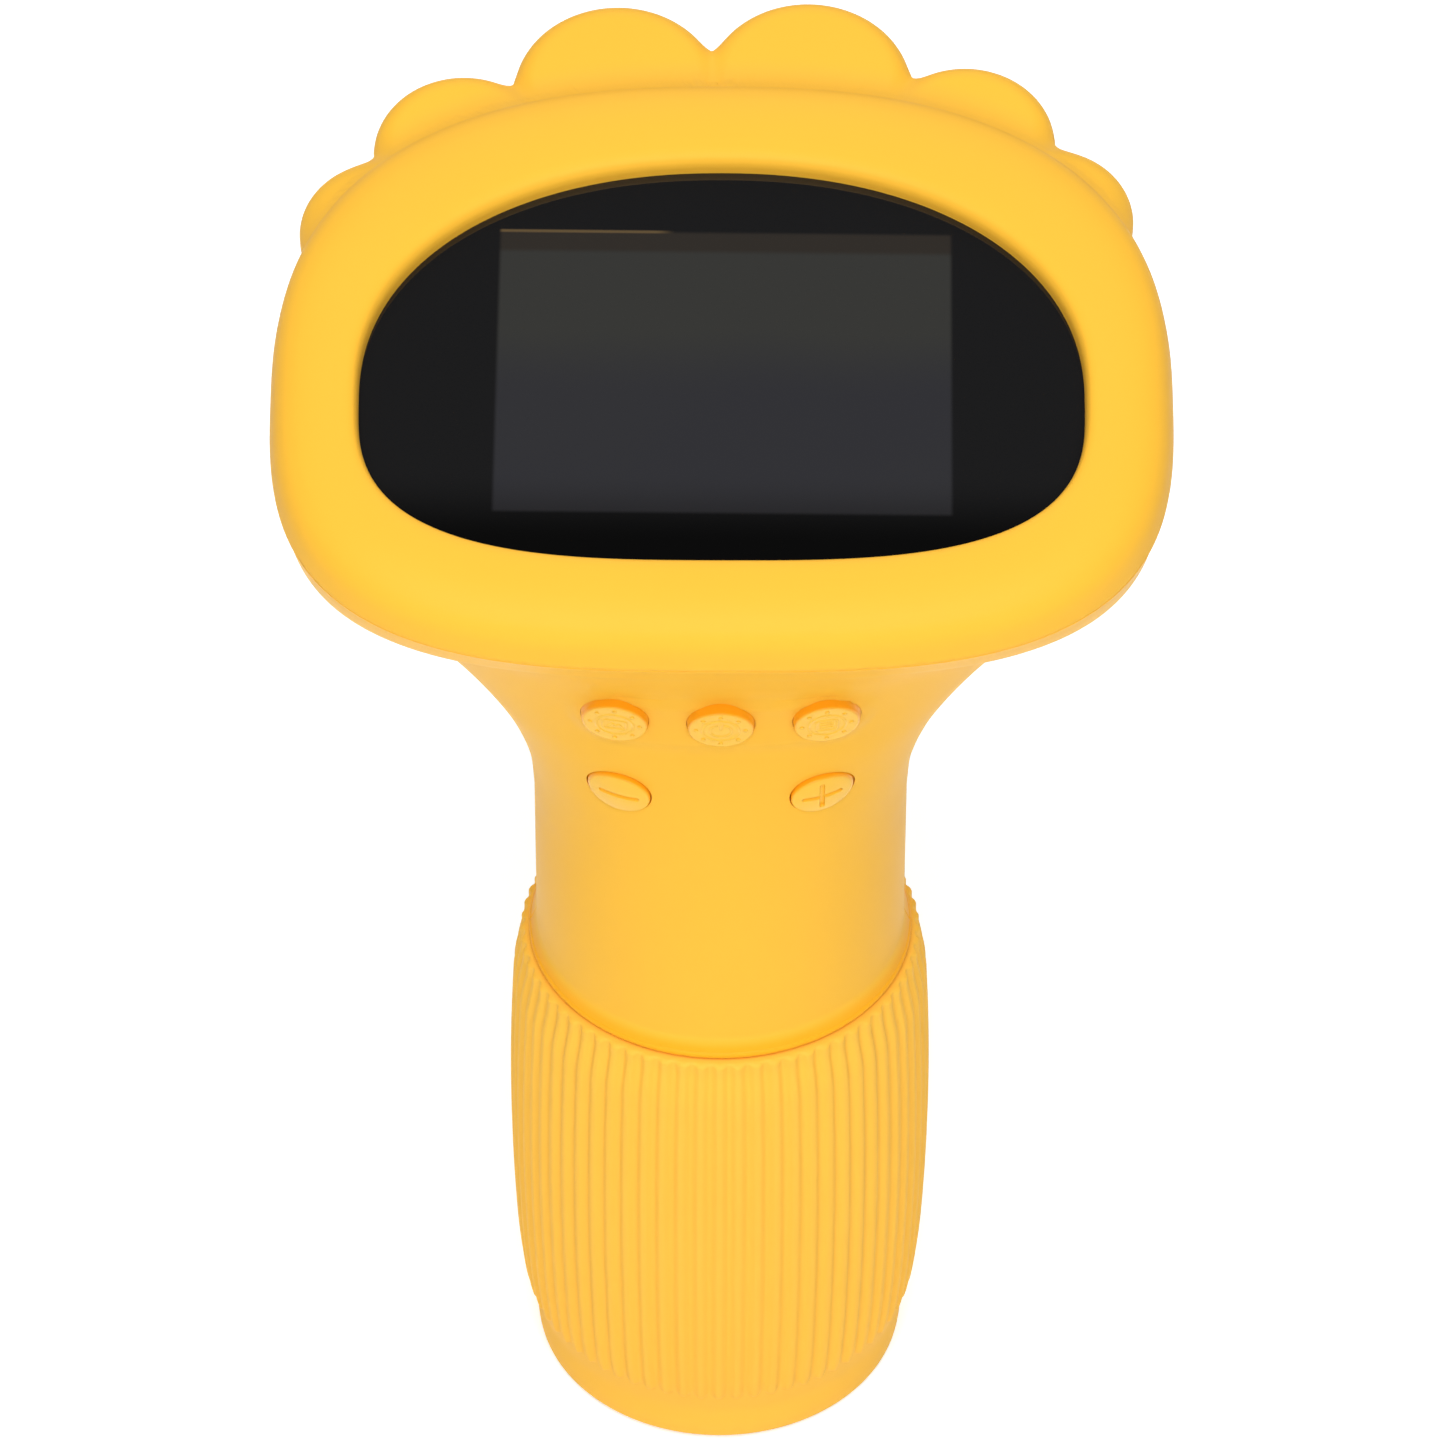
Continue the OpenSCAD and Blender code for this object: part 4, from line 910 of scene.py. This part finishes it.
def makeKey(place):
    name, x0, z0, out, _, _, wide, tall = place
    spec = keySpec
    n, radius, edge = spec["around"], spec["radius"], spec["edge"]
    turns = [2 * math.pi * i / n for i in range(n)]
    radii = [radius * (k / spec["rings"]) for k in range(1, spec["rings"] + 1)]
    points = [facePoint(place, 0, 0) - Vector((0, keyMark(name, 0, 0), 0))]
    for r in radii:
        over = max(r - (radius - edge), 0)
        fall = edge - math.sqrt(max(edge * edge - over * over, 0))
        for t in turns:
            u, v = wide * r * math.cos(t), tall * r * math.sin(t)
            p = facePoint(place, u, v)
            p.y += fall - (keyMark(name, u, v) if r < radius - edge else 0)
            points.append(p)
    # a skirt below the edge closes the gap, so the groove round the cap glows instead of going black
    skirt, drop = radius + spec["skirt"], spec["skirtDrop"]
    for r, down in ((radius, drop - spec["skirtStep"]), (skirt, drop)):
        for t in turns:
            y = facePoint(place, wide * radius * math.cos(t), tall * radius * math.sin(t)).y + edge + down
            points.append(Vector((x0 + wide * r * math.cos(t), y, z0 + tall * r * math.sin(t))))
    # then the shank, the flange that stops the cap behind the wall, and the stem
    front = spec["flangeDepth"] - out
    back = front + spec["flangeThick"]
    shank, flange, stem = (wide * skirt, tall * skirt), (spec["flange"],) * 2, (spec["stem"],) * 2
    for (rx, rz), y in ((shank, front), (flange, front), (flange, back), (stem, back),
                        (stem, -spec["stemY"])):
        points += [Vector((x0 + rx * math.cos(t), y, z0 + rz * math.sin(t))) for t in turns]
    count = (len(points) - 1) // n
    faces = [(0, 1 + i, 1 + (i + 1) % n) for i in range(n)]
    faces += [tuple(1 + k for k in f) for f in rows(count, n)]
    faces.append(tuple(range(len(points) - n, len(points))))
    obj = meshObject(name + "Key", [p * mm for p in points], faces, 50)
    # the wall attribute marks the cap's sides, where the material paints its deeper orange shade
    side = obj.data.attributes.new("wall", "FLOAT", "POINT")
    for i, spot in enumerate(side.data):            # nought on the face, one from the rounded edge down
        r = radius * min(1 + (i - 1) // n, spec["rings"]) / spec["rings"]
        spot.value = min(max((r - radius + edge) / edge, 0), 1)
    finishPiece(obj, keyAbs, name + "_button", [name + "_key"])
    if name in ("photo", "power", "menu"):
        makeDots(place)


for place in keySpec["places"]:
    makeKey(place)
print("keys made")


# Focus sleeve: a turned body whose ribs are raised by nodes from its angle and height
sleeve = {
    "radius": 20.3, "flat": 600.0, "middle": 31.0, "low": 0.6, "top": 53.62,
    "bore": 17.2, "base": 17.9, "rim": 18.7, "shoulder": 47.5, "tuck": 1.2, "tuckFrom": 14.0, "step": 0.55,
    "bodyRows": (14, 20, 26, 32, 38, 43), "ribCount": 68, "ribDepth": 0.38, "ribLow": 6.9, "ribHigh": 53.62,
    "crownFrom": 0.15, "crownTo": 0.92,                 # shares of its half width where a rib falls away
    "tipRound": 0.9, "tipSoft": 0.35, "topSoft": 0.3, "boreClear": 0.05,
    "columns": [-1 + i / 8 for i in range(16)],         # across a rib and groove, -1 in the groove's middle
}


def swell(z):
    under = max(sleeve["tuckFrom"] - z, 0) / sleeve["tuckFrom"]
    return sleeve["radius"] - (z - sleeve["middle"]) ** 2 / sleeve["flat"] - sleeve["tuck"] * under * under


def sleeveLine():
    depth, step = sleeve["ribDepth"], sleeve["step"]
    low, top, rim, shoulder = sleeve["low"], sleeve["top"], sleeve["rim"], sleeve["shoulder"]
    line = [(sleeve["base"] - 0.25, low), (sleeve["base"], low + 0.25), (sleeve["base"] + 0.15, 2.4),
            (swell(4.4) - step, 4.4), (swell(6.2) - step, 6.2), (swell(9.0) - depth, 9.0)]
    line += [(swell(z) - depth, z) for z in (*sleeve["bodyRows"], shoulder)]
    edge = swell(shoulder)
    for t in [i / 6 for i in range(1, 7)]:
        line.append((edge + (rim - edge) * t * t * (1.6 - 0.6 * t) - depth * (1 - t ** 6),
                     shoulder + (top - 0.2 - shoulder) * t))
    smooth = []
    for k in range(len(line) - 1):
        fine = 14 if 6.1 < line[k][1] < 8.9 else 4
        a, b, c, d = line[max(k - 1, 0)], line[k], line[k + 1], line[min(k + 2, len(line) - 1)]
        smooth += [catmullPoint(a, b, c, d, j / fine) for j in range(fine)]
    smooth.append(line[-1])
    bore = sleeve["bore"]
    return [(bore, low)] + smooth + [(rim - 0.06, top - 0.06), (rim - 0.2, top), (bore, top)]


def ribTree():
    tree, sockets, given = startTree("sleeveRibs", (
        ("Count", "Float"), ("Depth", "Float"), ("Low", "Float"), ("High", "Float"), ("Bore", "Float"),
        ("Material", "Material")))
    spot = addNode(tree, "GeometryNodeInputPosition")
    axes = addNode(tree, "ShaderNodeSeparateXYZ", inputs={0: spot.outputs[0]})
    angle = addNode(tree, "ShaderNodeMath", {"operation": "ARCTAN2"}, {
        0: axes.outputs["Y"], 1: axes.outputs["X"]})
    turn = addNode(tree, "ShaderNodeMath", {"operation": "DIVIDE"}, {0: angle.outputs[0], 1: 2 * math.pi})
    phase = addNode(tree, "ShaderNodeMath", {"operation": "MULTIPLY"}, {
        0: turn.outputs[0], 1: given.outputs["Count"]})
    # distance from the rib's centre line: 0 on the line, 1 in the middle of the groove
    off = addNode(tree, "ShaderNodeMath", {"operation": "PINGPONG"}, {0: phase.outputs[0], 1: 0.5})
    share = addNode(tree, "ShaderNodeMath", {"operation": "MULTIPLY"}, {0: off.outputs[0], 1: 2.0})
    crown = addNode(tree, "ShaderNodeMapRange", {"interpolation_type": "SMOOTHSTEP"}, {
        "Value": share.outputs[0], "From Min": sleeve["crownFrom"], "From Max": sleeve["crownTo"],
        "To Min": 1.0, "To Max": 0.0})
    # the lower tip is round: away from the centre line the rib starts higher
    bend = addNode(tree, "ShaderNodeMath", {"operation": "POWER"}, {0: share.outputs[0], 1: 2.0})
    start = addNode(tree, "ShaderNodeMath", {"operation": "MULTIPLY_ADD"}, {
        0: bend.outputs[0], 1: sleeve["tipRound"] * mm, 2: given.outputs["Low"]})
    above = addNode(tree, "ShaderNodeMath", {"operation": "SUBTRACT"}, {
        0: axes.outputs["Z"], 1: start.outputs[0]})
    tip = addNode(tree, "ShaderNodeMapRange", {"interpolation_type": "SMOOTHSTEP"}, {
        "Value": above.outputs[0], "From Min": 0.0, "From Max": sleeve["tipSoft"] * mm})
    below = addNode(tree, "ShaderNodeMath", {"operation": "SUBTRACT"}, {
        0: given.outputs["High"], 1: axes.outputs["Z"]})
    fade = addNode(tree, "ShaderNodeMapRange", {"interpolation_type": "SMOOTHSTEP"}, {
        "Value": below.outputs[0], "From Min": 0.0, "From Max": sleeve["topSoft"] * mm})
    flat = addNode(tree, "ShaderNodeCombineXYZ", inputs={"X": axes.outputs["X"], "Y": axes.outputs["Y"]})
    reach = addNode(tree, "ShaderNodeVectorMath", {"operation": "LENGTH"}, {0: flat.outputs[0]})
    outside = addNode(tree, "ShaderNodeMath", {"operation": "GREATER_THAN"}, {
        0: reach.outputs["Value"], 1: given.outputs["Bore"]})
    lift = crown.outputs[0]
    for factor in (tip.outputs[0], fade.outputs[0], outside.outputs[0], given.outputs["Depth"]):
        lift = addNode(tree, "ShaderNodeMath", {"operation": "MULTIPLY"}, {0: lift, 1: factor}).outputs[0]
    outward = addNode(tree, "ShaderNodeVectorMath", {"operation": "NORMALIZE"}, {0: flat.outputs[0]})
    push = addNode(tree, "ShaderNodeVectorMath", {"operation": "SCALE"}, {
        0: outward.outputs[0], "Scale": lift})
    moved = addNode(tree, "GeometryNodeSetPosition", inputs={
        "Geometry": given.outputs["Geometry"], "Offset": push.outputs[0]})
    endTree(tree, moved.outputs[0], given.outputs["Material"])
    return tree, sockets


def makeSleeve(spec):
    line, count = sleeveLine(), spec["ribCount"]
    turns = [2 * math.pi * (k + c / 2) / count for k in range(count) for c in spec["columns"]]
    n = len(turns)
    points = [(r * mm * math.cos(t), r * mm * math.sin(t), z * mm) for r, z in line for t in turns]
    last = (len(line) - 1) * n
    faces = rows(len(line), n) + [(last + i, last + (i + 1) % n, (i + 1) % n, i) for i in range(n)]
    obj = meshObject("focusSleeve", points, faces, 45)
    runTree(obj, *ribTree(), {
        "Count": float(count), "Depth": spec["ribDepth"] * mm, "Low": spec["ribLow"] * mm,
        "High": spec["ribHigh"] * mm, "Bore": (spec["bore"] + spec["boreClear"]) * mm, "Material": sleeveAbs})
    smoothMesh(obj.data, 50)
    return finishPiece(obj, sleeveAbs, "focus_ring", ["focus_sleeve"])


makeSleeve(sleeve)
print("sleeve made")


# Studio: a pale floor, a white surround and four soft lamps
studio = {
    "floor": "#fdfdfc",
    "floorHalf": 3.0,
    "floorGlow": 0.42,          # of its own light, where the floor shows as background
    "surround": 0.28,           # light of the surround on the object
    "ceiling": 0.08,            # a darker patch of ceiling, which the glass shows as black
    "ceilingWay": (0.0, 0.32, 0.95),
    "ceilingEdge": (0.93, 0.98),
    # name, place, size and power
    "lamps": [
        ("top", (0.0, -0.5, 0.94), 0.7, 7.0),
        ("left", (-0.33, -0.95, 0.76), 0.25, 1.5),
        ("right", (0.33, -0.95, 0.76), 0.25, 1.4),
        ("back", (0.0, 0.8, 0.9), 0.5, 2.3),
    ],
    "aim": (0, 0, 0.075),
}


def backgroundRays(tree):
    # one for rays that show the background: straight to the camera, mirrored or through clear parts
    ray = addNode(tree, "ShaderNodeLightPath")
    seen = ray.outputs["Is Camera Ray"]
    for kind in ("Is Glossy Ray", "Is Transmission Ray"):
        both = addNode(tree, "ShaderNodeMath", {"operation": "MAXIMUM"}, {0: seen, 1: ray.outputs[kind]})
        seen = both.outputs[0]
    return seen


def makeStudio(spec):
    world = bpy.data.worlds.new("studio")
    scene.world = world
    world.use_nodes = True
    tree = world.node_tree
    tree.nodes.clear()
    way = addNode(tree, "ShaderNodeTexCoord")
    aim = addNode(tree, "ShaderNodeVectorMath", {"operation": "DOT_PRODUCT"}, {
        0: way.outputs["Generated"], 1: spec["ceilingWay"]})
    edge = spec["ceilingEdge"]
    shown = addNode(tree, "ShaderNodeMapRange", {"interpolation_type": "SMOOTHSTEP"}, {
        "Value": aim.outputs["Value"], "From Min": edge[0], "From Max": edge[1],
        "To Min": 1.0, "To Max": spec["ceiling"]})
    level = addNode(tree, "ShaderNodeMapRange", inputs={
        "Value": backgroundRays(tree), "To Min": spec["surround"], "To Max": shown.outputs[0]})
    back = addNode(tree, "ShaderNodeBackground", inputs={"Color": (1, 1, 1, 1), "Strength": level.outputs[0]})
    addNode(tree, "ShaderNodeOutputWorld", inputs={"Surface": back.outputs[0]})
    for name, place, size, power in spec["lamps"]:
        data = bpy.data.lights.new(name + "Softbox", "AREA")
        data.shape, data.size, data.energy = "SQUARE", size, power
        lamp = bpy.data.objects.new(name + "Softbox", data)
        scene.collection.objects.link(lamp)
        lamp.location = place
        lamp.rotation_euler = (Vector(spec["aim"]) - Vector(place)).to_track_quat("-Z", "Y").to_euler()
    # a little light of its own makes the floor white as background, and the lamps' shadow stays on it
    material, tree, shader, _ = startMaterial("pale floor")
    shader.inputs["Base Color"].default_value = linearColour(spec["floor"])
    shader.inputs["Roughness"].default_value = 0.9
    shader.inputs["Emission Color"].default_value = (1, 1, 1, 1)
    glow = addNode(tree, "ShaderNodeMath", {"operation": "MULTIPLY"}, {
        0: backgroundRays(tree), 1: spec["floorGlow"]})
    tree.links.new(glow.outputs[0], shader.inputs["Emission Strength"])
    half = spec["floorHalf"]
    corners = [(-half, -half, 0), (half, -half, 0), (half, half, 0), (-half, half, 0)]
    floor = meshObject("floor", corners, [(0, 1, 2, 3)], outward=False)
    floor.data.materials.append(material)
    scene.view_settings.view_transform = "Standard"


makeStudio(studio)
print("studio lit")
